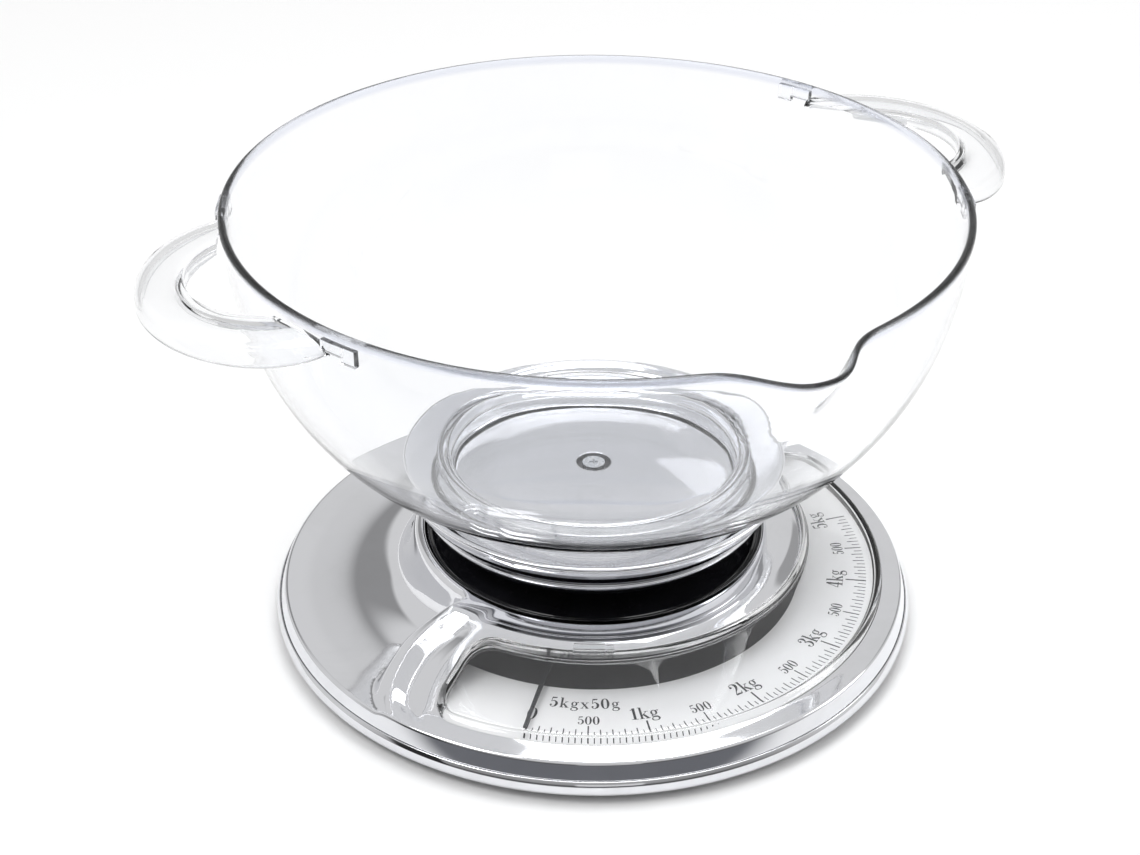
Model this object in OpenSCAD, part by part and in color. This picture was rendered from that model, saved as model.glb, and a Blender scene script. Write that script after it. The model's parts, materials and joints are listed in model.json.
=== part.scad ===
// Kitchen scale with a round chrome base, a crescent dial and a clear lift-off mixing bowl.
// Origin: on the table, on the scale's axis. +Z up, -Y is the side that the user reads.

/* [Overall] */
// Diameter of the base over its bottom roll
base_d = 236; // [220:1:300]
// Diameter of the bowl over its rim
bowl_d = 251; // [230:1:320]
// Height of the bowl from its foot to its rim
bowl_h = 109; // [80:1:140]

/* [Base] */
// Height of the rubber feet
foot_h = 2.5; // [2:0.1:5]
// Diameter of each rubber foot
foot_d = 16; // [10:0.5:24]
// Wall of the chrome cover
cover_wall = 2; // [1.6:0.1:3]
// Radius of the roll round the bottom edge
roll_r = 3; // [2:0.1:4]
// Top of the plain deck at the base's edge
deck_z = 13.6; // [12:0.1:18]
// Top of the lip round the well
lip_z = 34; // [32:0.1:40]
// Diameter of the well under the platform
well_d = 124; // [116:0.5:134]

/* [Dial and window] */
// Full load on the dial, in kilograms
full_load = 5; // [2:1:10]
// Angle that the pointer turns from no load to full load
dial_sweep = 120; // [90:1:150]
// Direction of the zero mark, seen from above
zero_angle = -102.5; // [-120:0.5:-90]
// Top face of the printed dial
dial_z = 14.2; // [13:0.1:15]
// Width of the printed dial between its two edges
dial_w = 28.3; // [20:0.1:32]
// Angle that the window runs past each end of the scale
window_over = 18.5; // [10:0.5:24]
// Height of the window above the hood round it
window_proud = 2; // [1:0.1:3]
// Wall of the clear window
window_wall = 1.6; // [1.2:0.1:2.4]

/* [Platform] */
// Diameter of the platform over its rolled rim
platform_d = 141; // [120:1:170]
// Diameter of the platform's skirt at its lower edge
skirt_d = 116; // [100:0.5:117]
// Lower edge of the skirt above the table
skirt_z = 41.2; // [39:0.1:48]
// Face that the bowl stands on, above the table
seat_z = 57; // [54:0.1:66]
// Wall of the platform and of its skirt
platform_wall = 1.6; // [1.2:0.1:2.4]

/* [Bowl] */
// Wall of the bowl
bowl_wall = 2.4; // [1.8:0.1:4]
// Diameter of the ring that the bowl stands on
bowl_foot_d = 111; // [90:1:120]
// Direction of the first handle, seen from above
bowl_turn = 28; // [0:1:90]
// How far each handle stands out past the rim
handle_reach = 32.5; // [24:0.5:45]
// Width of each handle where it meets the rim
handle_w = 98; // [70:1:120]
// Depth of the finger hole outside the rim
finger_depth = 15; // [12:0.5:24]
// Width of the pouring lip
spout_w = 42; // [24:1:60]

/* [Gear train] */
// Gear module of the rack and of all gears
gear_module = 0.5; // [0.4:0.05:0.6]
// Teeth on the pinion that the rack turns
pinion_teeth = 8; // [8:1:10]
// Teeth on the crown pinion at the shaft's inner end
crown_teeth = 24; // [20:1:26]
// Teeth on the gear that carries the pointer
hub_teeth = 36; // [34:1:44]
// Diameter of the load rod
rod_d = 6; // [5:0.1:7]
// Diameter of the pinion shaft
shaft_d = 2; // [1.6:0.1:2.4]
// Wire of the main spring
spring_wire = 1.8; // [1.4:0.1:2.2]
// Turns of the main spring
spring_turns = 5; // [4:0.5:6]

/* [Fits] */
// Radial clearance of parts that turn or slide in each other
run_gap = 0.05; // [0.03:0.01:0.1]
// Clearance between parts that pass each other
free_gap = 0.3; // [0.2:0.05:0.6]
// Clearance of the window in the cover
trim_gap = 0.15; // [0.05:0.05:0.4]

/* [Hidden] */

$fn = 96;
cut = 0.5;              // how far a cutting solid runs past the face that it cuts
shy = 0.02;             // how far a corner circle stays inside the edges beside it

// Radii of the base, from the outside in
base_r = base_d / 2;
cover_inset = 1.5;
cover_r = base_r - cover_inset;
window_inset = 10.6;
dial_inset = 2.9;
window_out_r = base_r - window_inset;
dial_out_r = window_out_r - dial_inset;
dial_in_r = dial_out_r - dial_w;
window_in_r = dial_in_r + 0.8;
well_r = well_d / 2;
lip_out_r = well_r + 4;
mask_in_r = 44;
foot_r = base_r - 22;

// Corners and flange of the crescent window, and the printed sheets under it
window_corner_in = 11;
window_corner_out = 5;
window_flange = 2;
window_flange_low = 3.2;
window_flange_gap = 0.05;
sheet_wall = 1;
sheet_corner = 3;
sheet_lap = 3;
mask_drop = 1.2;
gate_angle = 13;
gate_l = 13;
gate_w = 3.6;
gate_overhang = 1.2;

// Screws
screw_d = 3;
screw_head_d = 5.2;
screw_head_h = 1.6;

// Heights inside the base
pan_wall = 2;
pan_r = cover_r - cover_wall - free_gap;
pan_edge_h = 5.5;
pan_boss_r = 3.4;
pan_top = foot_h + pan_wall;
chassis_wall = 1.5;
chassis_top = pan_top + chassis_wall;
cover_foot_z = foot_h + 3.5;
hood_edge_z = deck_z + 1.2;
hood_low_z = deck_z + 2.7;

// The hood's straight slope, from the window's outer edge up to its inner edge
hood_high_z = lip_z - 3.3;
hood_slope = (hood_high_z - hood_low_z) / (window_out_r - window_in_r);
function hood_z(r) = hood_low_z + (window_out_r - r) * hood_slope;
// The hood's wall measured straight down
hood_drop = cover_wall * sqrt(1 + hood_slope * hood_slope);
// The hood's side edges bend forward towards the rim by this angle
hood_sweep = 10;
hood_steps = 6;

// Directions of the hood, window and dial
mid_angle = zero_angle + dial_sweep / 2;
window_half = dial_sweep / 2 + window_over;
hood_half = window_half + 15;
dial_half = window_half + 5;

// Motion: the load moves the rack, the pinion and the crown gears turn the pointer
pinion_r = gear_module * pinion_teeth / 2;
crown_r = gear_module * crown_teeth / 2;
hub_r = gear_module * hub_teeth / 2;
tooth_h = gear_module;
travel = dial_sweep * PI / 180 * hub_r / crown_r * pinion_r;

// Heights of the moving works
carrier_wall = 1.5;
carrier_z = chassis_top + travel + free_gap;
carrier_top = carrier_z + carrier_wall;
shaft_z = carrier_top + shaft_d / 2 + 1.4;
mesh_z = shaft_z + crown_r;
hub_z = mesh_z + tooth_h / 2;
hub_h = 2.6;
pointer_wall = 0.6;
pointer_top = hub_z + hub_h + pointer_wall;
pointer_low_z = dial_z + 2;
bridge_wall = 1.4;
bridge_z = pointer_top + free_gap;
bridge_top = bridge_z + bridge_wall;
bush_r = rod_d / 2 + 3;
bush_flange_r = bush_r + 5;
bush_flange_h = 1.2;
bush_low_z = hub_z - 3;
bush_top = skirt_z - travel - 0.9;
bridge_arm_w = 10;
post_r = 40;
post_d = 6;
post_angles = [45, 150, 232];
post_thread = 7;
chassis_hub_r = 34;
chassis_arm_w = 12;
chassis_pad_r = 8;
lightening_r = 6;
lightening_ring_r = 20;
lightening_angles = [97, 191, 318];
screw_slack = 0.1;
head_slack = 0.2;
support_r = 2.4;
dial_support_angles = [-60, 0, 60];
mask_support_angles = [-50, 0, 50];
mask_support_r = mask_in_r + 20;
rack_y = 30;
rack_w = 5;
rack_depth = 3;
rack_top = shaft_z + travel + 2;
crown_w = 3;
crown_y = hub_r - crown_w / 2;
bracket_wall = 1.2;
bracket_w = 9;
bracket_in_y = hub_r + 7.6;
bracket_out_y = rack_y + 6;
bracket_over = 3;       // how far the bracket's ears stand above the shaft
bracket_strip_x = 0.8;  // how far the bracket's foot stays inside the rack
carrier_hub_r = 14;
arm_out_x = -bracket_w / 2 - 5.5;
arm_end_y = rack_y + rack_w / 2 + 2;
bracket_room_y = bracket_in_y - 10.8;
bracket_room_w = 30;

// Pointer
pointer_bend_r = 44;
pointer_flat_r = 58;
pointer_tip_r = dial_out_r - 2.6;
pointer_w = 1.5;
pointer_tail = [16, 5];
pointer_tail_r = 24;
hub_wall = 1.6;

// The well collar and the zero ring round the bush
collar_wall = 1.5;
collar_floor_z = bridge_top + screw_head_h + 0.2;
collar_hole_r = bush_flange_r + 4;
zero_ring_r = collar_hole_r - 1;
zero_ring_h = 3;
zero_ring_z = bridge_top + bush_flange_h;

// Platform
platform_r = platform_d / 2;
skirt_r = skirt_d / 2;
seam_z = skirt_z + (seat_z - skirt_z) * 0.53;
seam_r = skirt_r + (platform_r - skirt_r) * 0.5;
seam_gap = 0.2;
rim_rise = 3.6;
seat_r = bowl_foot_d / 2 + 1.2;
hub_plate_wall = 2;
hub_plate_z = seat_z - platform_wall - hub_plate_wall;
spring_low_z = zero_ring_z + zero_ring_h;
spring_high_z = hub_plate_z - 1;
spring_r = bush_r + 5;
boss_low_z = bush_top + travel + free_gap;
spring_steps = 80;
spring_sides = 8;
web_r = skirt_r - 6;    // inner edge of the ring inside the skirt
hub_rib_w = 1.6;
hub_rib_h = 3;

// Bowl
bowl_r = bowl_d / 2;
rim_z = seat_z + bowl_h;
bowl_foot_r = bowl_foot_d / 2;
bowl_depth = bowl_h - 3;
bowl_round = 3.1;       // exponents of the bowl's rounded side
bowl_flat = 1.95;
rim_bead = 1.3;         // half the rim's thickness
handle_top = rim_z - 3.5;
handle_wall = 2.4;
handle_skirt = 9;
handle_root = 13.5;     // how far inside the rim the handle's outline is centred
spout_root = 4.5;       // how far inside the rim the pouring lip's cone stands
spout_depth = 30;
bowl_steps = 26;

// Feet and cover screws, round the base
cover_screw_r = cover_r - cover_wall - 2.9;
cover_boss_z = deck_z - 5.4;
cover_boss_top = deck_z - 1.9;
cover_boss_r = 3.3;
foot_angles = [0, 90, 180, 270];
cover_screw_angles = [20, 110, 200, 290];

function reversed(list) = [for (i = [len(list) - 1 : -1 : 0]) list[i]];
function unit(v) = v / norm(v);
function left_of(v) = [-v[1], v[0]];
// Direction across a polyline at point i
function across(pts, i) =
    let (n = len(pts) - 1,
         a = left_of(unit(pts[min(i + 1, n)] - pts[min(i, n - 1)])),
         b = left_of(unit(pts[max(i, 1)] - pts[max(i - 1, 0)])),
         m = unit(a + b))
    m / (m * a);
// The polyline moved sideways by t, to its left
function beside(pts, t) = [for (i = [0 : len(pts) - 1]) pts[i] + t * across(pts, i)];
function polar(r, a) = [r * cos(a), r * sin(a)];
// Angle that a length subtends at radius r
function span(len, r) = len / r * 180 / PI;

// Flat sector of a ring, half_angle each way of mid_angle
module sector(r_in, r_out, half_angle) {
    far = r_out * 3;
    intersection() {
        difference() {
            circle(r = r_out);
            circle(r = r_in);
        }
        polygon(concat([[0, 0]], [for (i = [-2 : 2]) polar(far, mid_angle + half_angle * i / 2)]));
    }
}

// Crescent between two radii with round corners, half_angle each way of mid_angle
module crescent(r_in, r_out, half_angle, corner_in, corner_out) {
    centre_in = r_in + corner_in;
    centre_out = r_out - corner_out;
    angle_in = half_angle - span(corner_in, centre_in);
    angle_out = half_angle - span(corner_out, centre_out);
    sector(r_in, centre_in + 1, angle_in);
    sector(centre_out - 1, r_out, angle_out);
    sector(centre_in, centre_out, half_angle);
    // the corner circles stop just short of the edges that they would touch along a point
    for (side = [-1, 1]) {
        translate(polar(centre_in, mid_angle + side * angle_in)) circle(r = corner_in - shy, $fn = 48);
        translate(polar(centre_out, mid_angle + side * angle_out)) circle(r = corner_out - shy, $fn = 48);
    }
}

// Where the hood's side edge runs, seen from above: radial near the well, swept forward at the rim
function hood_edge(r) = hood_half - hood_sweep * pow(max(r - well_r, 0) / (cover_r - well_r), 3);
// Plan of the hood, with its two side edges moved in by inset
module hood_plan(inset) {
    far = cover_r * 3;
    radii = concat([for (i = [0 : hood_steps]) well_r - 4 + (cover_r - well_r + 8) * i / hood_steps], [far]);
    function side_angle(r) = hood_edge(min(r, cover_r + 4)) - span(inset, min(r, cover_r + 4));
    intersection() {
        circle(r = cover_r + cut);
        polygon(concat(
            [for (r = radii) polar(r, mid_angle - side_angle(r))],
            [polar(far, mid_angle)],
            [for (r = reversed(radii)) polar(r, mid_angle + side_angle(r))]));
    }
}

// Ring of revolution between a profile and the same profile moved in by wall
module turned_shell(pts, wall) {
    rotate_extrude($fn = 180)
        polygon(concat(pts, reversed(beside(pts, wall))));
}

// Solid under a profile that runs from the outside to the inside, down to floor_z
module turned_solid(pts, floor_z) {
    last = len(pts) - 1;
    rotate_extrude($fn = 180)
        polygon(concat([[pts[0][0], floor_z]], pts, [[pts[last][0], floor_z]]));
}

// Conical layer that lies between two heights above the hood's slope
module slope_layer(low, high) {
    ra = window_in_r - 6;
    rb = window_out_r + 6;
    rotate_extrude($fn = 180)
        polygon([[ra, hood_z(ra) + low], [rb, hood_z(rb) + low],
                 [rb, hood_z(rb) + high], [ra, hood_z(ra) + high]]);
}

module ring(r_out, r_in, z, h) {
    translate([0, 0, z]) difference() {
        cylinder(r = r_out, h = h);
        translate([0, 0, -cut]) cylinder(r = r_in, h = h + 2 * cut);
    }
}

module disc(r, z, h) { translate([0, 0, z]) cylinder(r = r, h = h); }

module at_polar(r, a) { rotate([0, 0, a]) translate([r, 0, 0]) children(); }

module screw(length) {
    cylinder(d = screw_d, h = length, $fn = 24);
    difference() {
        translate([0, 0, -screw_head_h]) cylinder(d = screw_head_d, h = screw_head_h, $fn = 32);
        for (a = [0, 90]) rotate([0, 0, a])
            translate([-1.6, -0.35, -screw_head_h - cut]) cube([3.2, 0.7, 0.8 + cut]);
    }
}

// Straight-toothed gear on the Z axis from 0 to h, with a bore
module gear(teeth, h, bore_r) {
    pitch_r = gear_module * teeth / 2;
    root_r = pitch_r - 0.6 * gear_module;
    tip_r = pitch_r + 0.45 * gear_module;
    step = 360 / teeth;
    difference() {
        linear_extrude(h) polygon([for (i = [0 : teeth - 1]) for (p = [0 : 3])
            polar((p == 1 || p == 2) ? tip_r : root_r, (i + [-0.3, -0.13, 0.13, 0.3][p]) * step)]);
        translate([0, 0, -cut]) cylinder(r = bore_r, h = h + 2 * cut, $fn = 48);
    }
}

deck_profile = [
    [cover_r, cover_foot_z], [cover_r, deck_z - 1.6], [cover_r - 0.6, deck_z - 0.5], [cover_r - 2, deck_z],
    [cover_r - 12, deck_z - 0.9], [dial_in_r + 14, deck_z - 1.5], [dial_in_r + 7, deck_z - 1.1],
    [dial_in_r, deck_z + 1], [lip_out_r + 6, deck_z + 4], [lip_out_r + 3, deck_z + 9],
    [lip_out_r + 1.2, lip_z - 6], [lip_out_r, lip_z - 1.6], [lip_out_r - 1.2, lip_z - 0.3],
    [well_r + 1.4, lip_z], [well_r, lip_z - 0.5]];

hood_profile = [
    [cover_r, cover_foot_z], [cover_r, hood_edge_z - 1.5], [cover_r - 0.9, hood_edge_z],
    [window_out_r, hood_low_z], [window_in_r - 5, hood_z(window_in_r - 5)],
    [well_r + 1.4, lip_z], [well_r, lip_z - 0.5]];

// Where the cover's inside ends, under the lip and inside the well
under_lip = [well_r - 8, lip_z - 0.5 - cover_wall];
// The deck's inside, one wall in and one wall down from its outside
function inner_skin(pts) = concat([for (p = pts) p - [cover_wall, cover_wall]], [under_lip]);

// Post that stands on the base pan and carries a sheet at height z
module support(z) {
    translate([0, 0, foot_h]) cylinder(r = support_r, h = z - foot_h, $fn = 32);
}

module base_pan() {
    color("#202124") difference() {
        union() {
            disc(pan_r, foot_h, pan_wall);
            ring(pan_r, pan_r - pan_wall, foot_h, pan_edge_h);
            intersection() {
                disc(pan_r, foot_h, cover_boss_z - foot_h);
                for (a = cover_screw_angles) at_polar(cover_screw_r, a) disc(pan_boss_r, 0, cover_boss_z);
            }
            for (a = dial_support_angles) at_polar((dial_in_r + dial_out_r) / 2, mid_angle + a)
                support(dial_z - sheet_wall);
            for (a = mask_support_angles) at_polar(mask_support_r, mid_angle + a)
                support(dial_z - mask_drop - sheet_wall);
        }
        for (a = cover_screw_angles) at_polar(cover_screw_r, a)
            translate([0, 0, foot_h - cut]) {
                cylinder(d = screw_head_d + 2 * head_slack, h = cut + screw_head_h + head_slack, $fn = 32);
                cylinder(r = screw_d / 2 + screw_slack, h = deck_z, $fn = 32);
            }
        for (a = post_angles) at_polar(post_r, a)
            translate([0, 0, foot_h - cut])
                cylinder(d = screw_head_d + 2 * head_slack, h = pan_wall + 2 * cut, $fn = 32);
    }
}

module rim_roll() {
    color("#d9dbde") rotate_extrude($fn = 180) difference() {
        union() {
            translate([base_r - roll_r, foot_h + 0.3 + roll_r]) circle(r = roll_r, $fn = 32);
            translate([cover_r - cover_wall - 0.1, foot_h + 0.3]) square([roll_r + 0.6, 3.2]);
        }
        translate([cover_r - cover_wall - 4, cover_foot_z]) square([cover_wall + 4, 2 * roll_r]);
        translate([cover_r - cover_wall - 4, 0]) square([4 - 0.1, 20]);
    }
}

module top_cover() {
    color("#d9dbde") {
        difference() {
            turned_solid(deck_profile, cover_foot_z);
            turned_solid(inner_skin(deck_profile), -cut);
            translate([0, 0, -cut]) linear_extrude(lip_z + 2 * cut) hood_plan(0);
        }
        difference() {
            intersection() {
                translate([0, 0, cut]) linear_extrude(lip_z + cut) hood_plan(0);
                turned_solid(hood_profile, cover_foot_z);
            }
            intersection() {
                translate([0, 0, -cut]) linear_extrude(lip_z + 2 * cut) hood_plan(cover_wall);
                turned_solid(concat(beside(hood_profile, cover_wall), [under_lip]), -2 * cut);
            }
            translate([0, 0, -cut]) linear_extrude(lip_z + window_proud + 2 * cut)
                crescent(window_in_r - trim_gap, window_out_r + trim_gap, window_half + 0.1,
                         window_corner_in, window_corner_out);
            // the side walls of the hood end just under the deck
            translate([0, 0, -cut]) cylinder(r = cover_r - cover_wall, h = deck_z - 3.6 + cut);
        }
        for (a = cover_screw_angles) at_polar(cover_screw_r, a)
            ring(cover_boss_r, screw_d / 2 + run_gap, cover_boss_z, cover_boss_top - cover_boss_z);
    }
}

module window() {
    color("#cfe0ea", 0.35) difference() {
        union() {
            intersection() {
                linear_extrude(2 * lip_z)
                    crescent(window_in_r, window_out_r, window_half, window_corner_in, window_corner_out);
                slope_layer(-window_flange_low, window_proud);
            }
            intersection() {
                linear_extrude(2 * lip_z)
                    crescent(window_in_r - window_flange, window_out_r + window_flange,
                             window_half + span(window_flange, window_in_r),
                             window_corner_in + window_flange, window_corner_out + window_flange);
                slope_layer(-window_flange_low, -hood_drop - window_flange_gap);
            }
            at_polar(window_in_r - 1, zero_angle + gate_angle)
                translate([-gate_overhang, -gate_l / 2, hood_z(window_in_r - 1 - gate_overhang) + trim_gap])
                    cube([gate_w, gate_l, window_proud - 0.6]);
        }
        intersection() {
            linear_extrude(2 * lip_z)
                crescent(window_in_r + window_wall, window_out_r - window_wall,
                         window_half - span(window_wall, window_in_r),
                         window_corner_in - window_wall, window_corner_out - window_wall);
            slope_layer(-2 * window_flange_low, window_proud - window_wall);
        }
    }
}

module dial_plate() {
    color("#f4f2ec") translate([0, 0, dial_z - sheet_wall]) linear_extrude(sheet_wall)
        crescent(dial_in_r, dial_out_r, dial_half, sheet_corner, sheet_corner);
}

module dial_mask() {
    color("#26282b") translate([0, 0, dial_z - mask_drop - sheet_wall]) linear_extrude(sheet_wall)
        crescent(mask_in_r, dial_in_r + sheet_lap, dial_half, sheet_corner, sheet_corner);
}

module well_collar() {
    top_r = well_r - 2 * free_gap;
    color("#0c0d0f") turned_shell([
        [top_r, lip_z - 1.2], [top_r - 0.8, lip_z - 1.4], [top_r - 1.8, collar_floor_z + collar_wall + 0.7],
        [top_r - 3.4, collar_floor_z + collar_wall + 0.2], [top_r - 8, collar_floor_z + collar_wall],
        [collar_hole_r, collar_floor_z + collar_wall]], collar_wall);
}

module chassis_plate() {
    color("#9da2a8") difference() {
        union() {
            disc(chassis_hub_r, pan_top, chassis_wall);
            for (a = post_angles) rotate([0, 0, a])
                translate([0, -chassis_arm_w / 2, pan_top]) cube([post_r, chassis_arm_w, chassis_wall]);
            for (a = post_angles) at_polar(post_r, a) disc(chassis_pad_r, pan_top, chassis_wall);
        }
        for (a = post_angles) at_polar(post_r, a)
            translate([0, 0, -cut])
                cylinder(r = screw_d / 2 + screw_slack, h = chassis_top + 2 * cut, $fn = 32);
        for (a = lightening_angles) at_polar(lightening_ring_r, a)
            translate([0, 0, pan_top - cut]) cylinder(r = lightening_r, h = chassis_wall + 2 * cut);
    }
}

module bridge_posts() {
    color("#b9bdc2") for (a = post_angles) at_polar(post_r, a)
        ring(post_d / 2, screw_d / 2 + run_gap, chassis_top, bridge_z - chassis_top);
}

module bridge_plate() {
    color("#9da2a8") difference() {
        union() {
            disc(bush_flange_r + 3, bridge_z, bridge_wall);
            for (a = post_angles) rotate([0, 0, a])
                translate([0, -bridge_arm_w / 2, bridge_z]) cube([post_r, bridge_arm_w, bridge_wall]);
            for (a = post_angles) at_polar(post_r, a) disc(bridge_arm_w / 2, bridge_z, bridge_wall);
        }
        translate([0, 0, bridge_z - cut]) cylinder(r = bush_r, h = bridge_wall + 2 * cut);
        for (a = post_angles) at_polar(post_r, a)
            translate([0, 0, bridge_z - cut])
                cylinder(r = screw_d / 2 + screw_slack, h = bridge_wall + 2 * cut, $fn = 32);
    }
}

module bridge_screws() {
    color("#c9ccd0") for (a = post_angles) at_polar(post_r, a) {
        translate([0, 0, pan_top]) screw(chassis_wall + post_thread);
        translate([0, 0, bridge_top]) rotate([180, 0, 0]) screw(bridge_wall + post_thread);
    }
}

module guide_bush() {
    color("#c9a44a") {
        ring(bush_r, rod_d / 2 + run_gap, bush_low_z, bush_top - bush_low_z);
        ring(bush_flange_r, rod_d / 2 + run_gap, bridge_top, bush_flange_h);
    }
}

module shaft_bracket() {
    color("#9da2a8") difference() {
        union() {
            for (y = [bracket_in_y, bracket_out_y])
                translate([-bracket_w / 2, y - bracket_wall / 2, chassis_top])
                    cube([bracket_w, bracket_wall, shaft_z - chassis_top + bracket_over]);
            translate([-pinion_r + bracket_strip_x, bracket_in_y - bracket_wall / 2, chassis_top])
                cube([bracket_w / 2 + pinion_r - bracket_strip_x,
                      bracket_out_y - bracket_in_y + bracket_wall, bracket_wall]);
        }
        translate([0, bracket_in_y - 2, shaft_z]) rotate([-90, 0, 0])
            cylinder(r = shaft_d / 2 + run_gap, h = bracket_out_y - bracket_in_y + 4, $fn = 32);
    }
}

module zero_ring() {
    color("#1a1b1d") difference() {
        ring(zero_ring_r, bush_r + run_gap * 4, zero_ring_z, zero_ring_h);
        for (i = [0 : 35]) at_polar(zero_ring_r + 0.3, i * 10)
            translate([0, 0, zero_ring_z - cut]) cylinder(r = 0.7, h = zero_ring_h + 2 * cut, $fn = 16);
    }
}

module cover_screws() {
    color("#c9ccd0") for (a = cover_screw_angles) at_polar(cover_screw_r, a)
        translate([0, 0, foot_h + screw_head_h]) screw(deck_z - 4.6 - foot_h);
}

module feet() {
    color("#2b2b2c") for (a = foot_angles) at_polar(foot_r, a)
        rotate_extrude($fn = 48) polygon([[0, 0], [foot_d / 2 - 0.8, 0], [foot_d / 2, 0.8],
                                          [foot_d / 2, foot_h], [0, foot_h]]);
}

module platform_pan() {
    color("#d9dbde") turned_shell([
        [seam_r, seam_z + seam_gap],
        [seam_r + (platform_r - seam_r) * 0.55, seam_z + (seat_z - seam_z) * 0.6],
        [platform_r - 0.6, seat_z + 1.6], [platform_r, seat_z + 2.8], [platform_r - 0.7, seat_z + rim_rise],
        [platform_r - 2.4, seat_z + rim_rise], [seat_r + 3, seat_z + 1.2], [seat_r, seat_z],
        [rod_d, seat_z]], platform_wall);
}

module platform_skirt() {
    color("#d9dbde") turned_shell([
        [skirt_r, skirt_z], [skirt_r + 0.5, skirt_z + 0.6],
        [skirt_r + (seam_r - skirt_r) * 0.7, skirt_z + (seam_z - skirt_z) * 0.55], [seam_r, seam_z]],
        platform_wall);
    skirt_web();
}

// Flat ring inside the skirt that meets the hub plate's edge
module skirt_web() {
    ring(seam_r - platform_wall / 2, web_r, seam_z - platform_wall, platform_wall);
}

module platform_hub() {
    color("#1a1b1d") difference() {
        union() {
            disc(seat_r - 3, hub_plate_z, hub_plate_wall);
            disc(spring_r + spring_wire, spring_high_z, hub_plate_z - spring_high_z);
            disc(rod_d / 2 + 2.2, boss_low_z, hub_plate_z - boss_low_z);
            for (a = [0 : 60 : 300]) rotate([0, 0, a])
                translate([spring_r + spring_wire - 1, -hub_rib_w / 2, hub_plate_z - hub_rib_h])
                    cube([web_r + 2 - spring_r - spring_wire, hub_rib_w, hub_rib_h]);
            ring(web_r + 1.2, web_r - 3, seam_z, hub_plate_z - seam_z);
        }
        translate([0, 0, boss_low_z - cut]) cylinder(r = rod_d / 2, h = 60);
    }
}

module load_rod() {
    color("#c5c8cc") difference() {
        translate([0, 0, carrier_z]) cylinder(d = rod_d, h = hub_plate_z + hub_plate_wall - carrier_z);
        translate([0, 0, hub_plate_z - 8]) cylinder(d = screw_d, h = 20, $fn = 24);
    }
}

module rod_screw() {
    color("#c9ccd0") translate([0, 0, seat_z - platform_wall]) rotate([180, 0, 0]) {
        cylinder(d = screw_d, h = 8, $fn = 24);
        difference() {
            translate([0, 0, -screw_head_h]) cylinder(d = screw_head_d + 3, h = screw_head_h, $fn = 32);
            for (a = [0, 90]) rotate([0, 0, a])
                translate([-1.6, -0.35, -screw_head_h - cut]) cube([3.2, 0.7, 0.8 + cut]);
        }
    }
}

// Point at angle a round the wire's section, on the coil at turn fraction u
function coil_point(u, a) =
    let (turn = u * spring_turns * 360,
         low = spring_low_z + spring_wire / 2,
         high = spring_high_z - spring_wire / 2,
         rr = spring_r + spring_wire / 2 * cos(a))
    [rr * cos(turn), rr * sin(turn), low + (high - low) * u + spring_wire / 2 * sin(a) * 0.98];
module main_spring() {
    points = [for (i = [0 : spring_steps]) for (s = [0 : spring_sides - 1])
        coil_point(i / spring_steps, s * 360 / spring_sides)];
    last = spring_steps * spring_sides;
    sides = [for (i = [0 : spring_steps - 1]) for (s = [0 : spring_sides - 1])
        let (a = i * spring_sides + s, b = i * spring_sides + (s + 1) % spring_sides)
        [a, b, b + spring_sides, a + spring_sides]];
    caps = [[for (s = [spring_sides - 1 : -1 : 0]) s], [for (s = [0 : spring_sides - 1]) last + s]];
    color("#aeb3b8") polyhedron(points, concat(caps, sides), convexity = 10);
}

// The arm runs beside the bracket and the crown pinion, then reaches under the rack
module rack_carrier() {
    color("#9da2a8") difference() {
        union() {
            disc(carrier_hub_r, carrier_z, carrier_wall);
            translate([arm_out_x, 0, carrier_z]) cube([-arm_out_x - pinion_r, arm_end_y, carrier_wall]);
        }
        translate([0, 0, carrier_z - cut]) cylinder(r = rod_d / 2, h = carrier_wall + 2 * cut);
        // room for the bracket
        translate([-bracket_w / 2 - free_gap, bracket_room_y, carrier_z - cut])
            cube([bracket_room_w, rack_y - rack_w / 2 - 1 - bracket_room_y, carrier_wall + 2 * cut]);
        // room for the crown pinion
        translate([-crown_r - gear_module, crown_y - free_gap, carrier_z - cut])
            cube([crown_r, crown_w + 2 * free_gap, carrier_wall + 2 * cut]);
    }
}

module rack() {
    step = PI * gear_module;
    root_x = -pinion_r - 0.6 * gear_module;
    tip_x = -pinion_r + 0.4 * gear_module;
    first = floor((carrier_top - shaft_z) / step) + 1;
    last = floor((rack_top - shaft_z) / step) - 1;
    color("#c9a44a") translate([0, rack_y + rack_w / 2, 0]) rotate([90, 0, 0]) linear_extrude(rack_w)
        polygon(concat(
            [[root_x - rack_depth, carrier_top], [root_x, carrier_top]],
            [for (i = [first : last]) for (p = [0 : 3])
                [(p == 1 || p == 2) ? tip_x : root_x,
                 shaft_z + (i + 0.5 + [-0.3, -0.12, 0.12, 0.3][p]) * step]],
            [[root_x, rack_top], [root_x - rack_depth, rack_top]]));
}

module along_shaft(y) { translate([0, y, shaft_z]) rotate([-90, 0, 0]) children(); }

module pinion_shaft() {
    color("#c5c8cc") along_shaft(crown_y - 0.5)
        cylinder(d = shaft_d, h = bracket_out_y + 2 - crown_y, $fn = 32);
}

module drive_pinion() {
    color("#c9a44a") along_shaft(rack_y - rack_w / 2 + 0.5)
        gear(pinion_teeth, rack_w - 1, shaft_d / 2);
}

module crown_pinion() {
    color("#c9a44a") along_shaft(crown_y) rotate([0, 0, 180 / crown_teeth])
        gear(crown_teeth, crown_w, shaft_d / 2);
}

module pointer_hub() {
    color("#1a1b1d") ring(bush_r + hub_wall, bush_r + run_gap, hub_z, hub_h + pointer_wall - 0.1);
}

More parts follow.
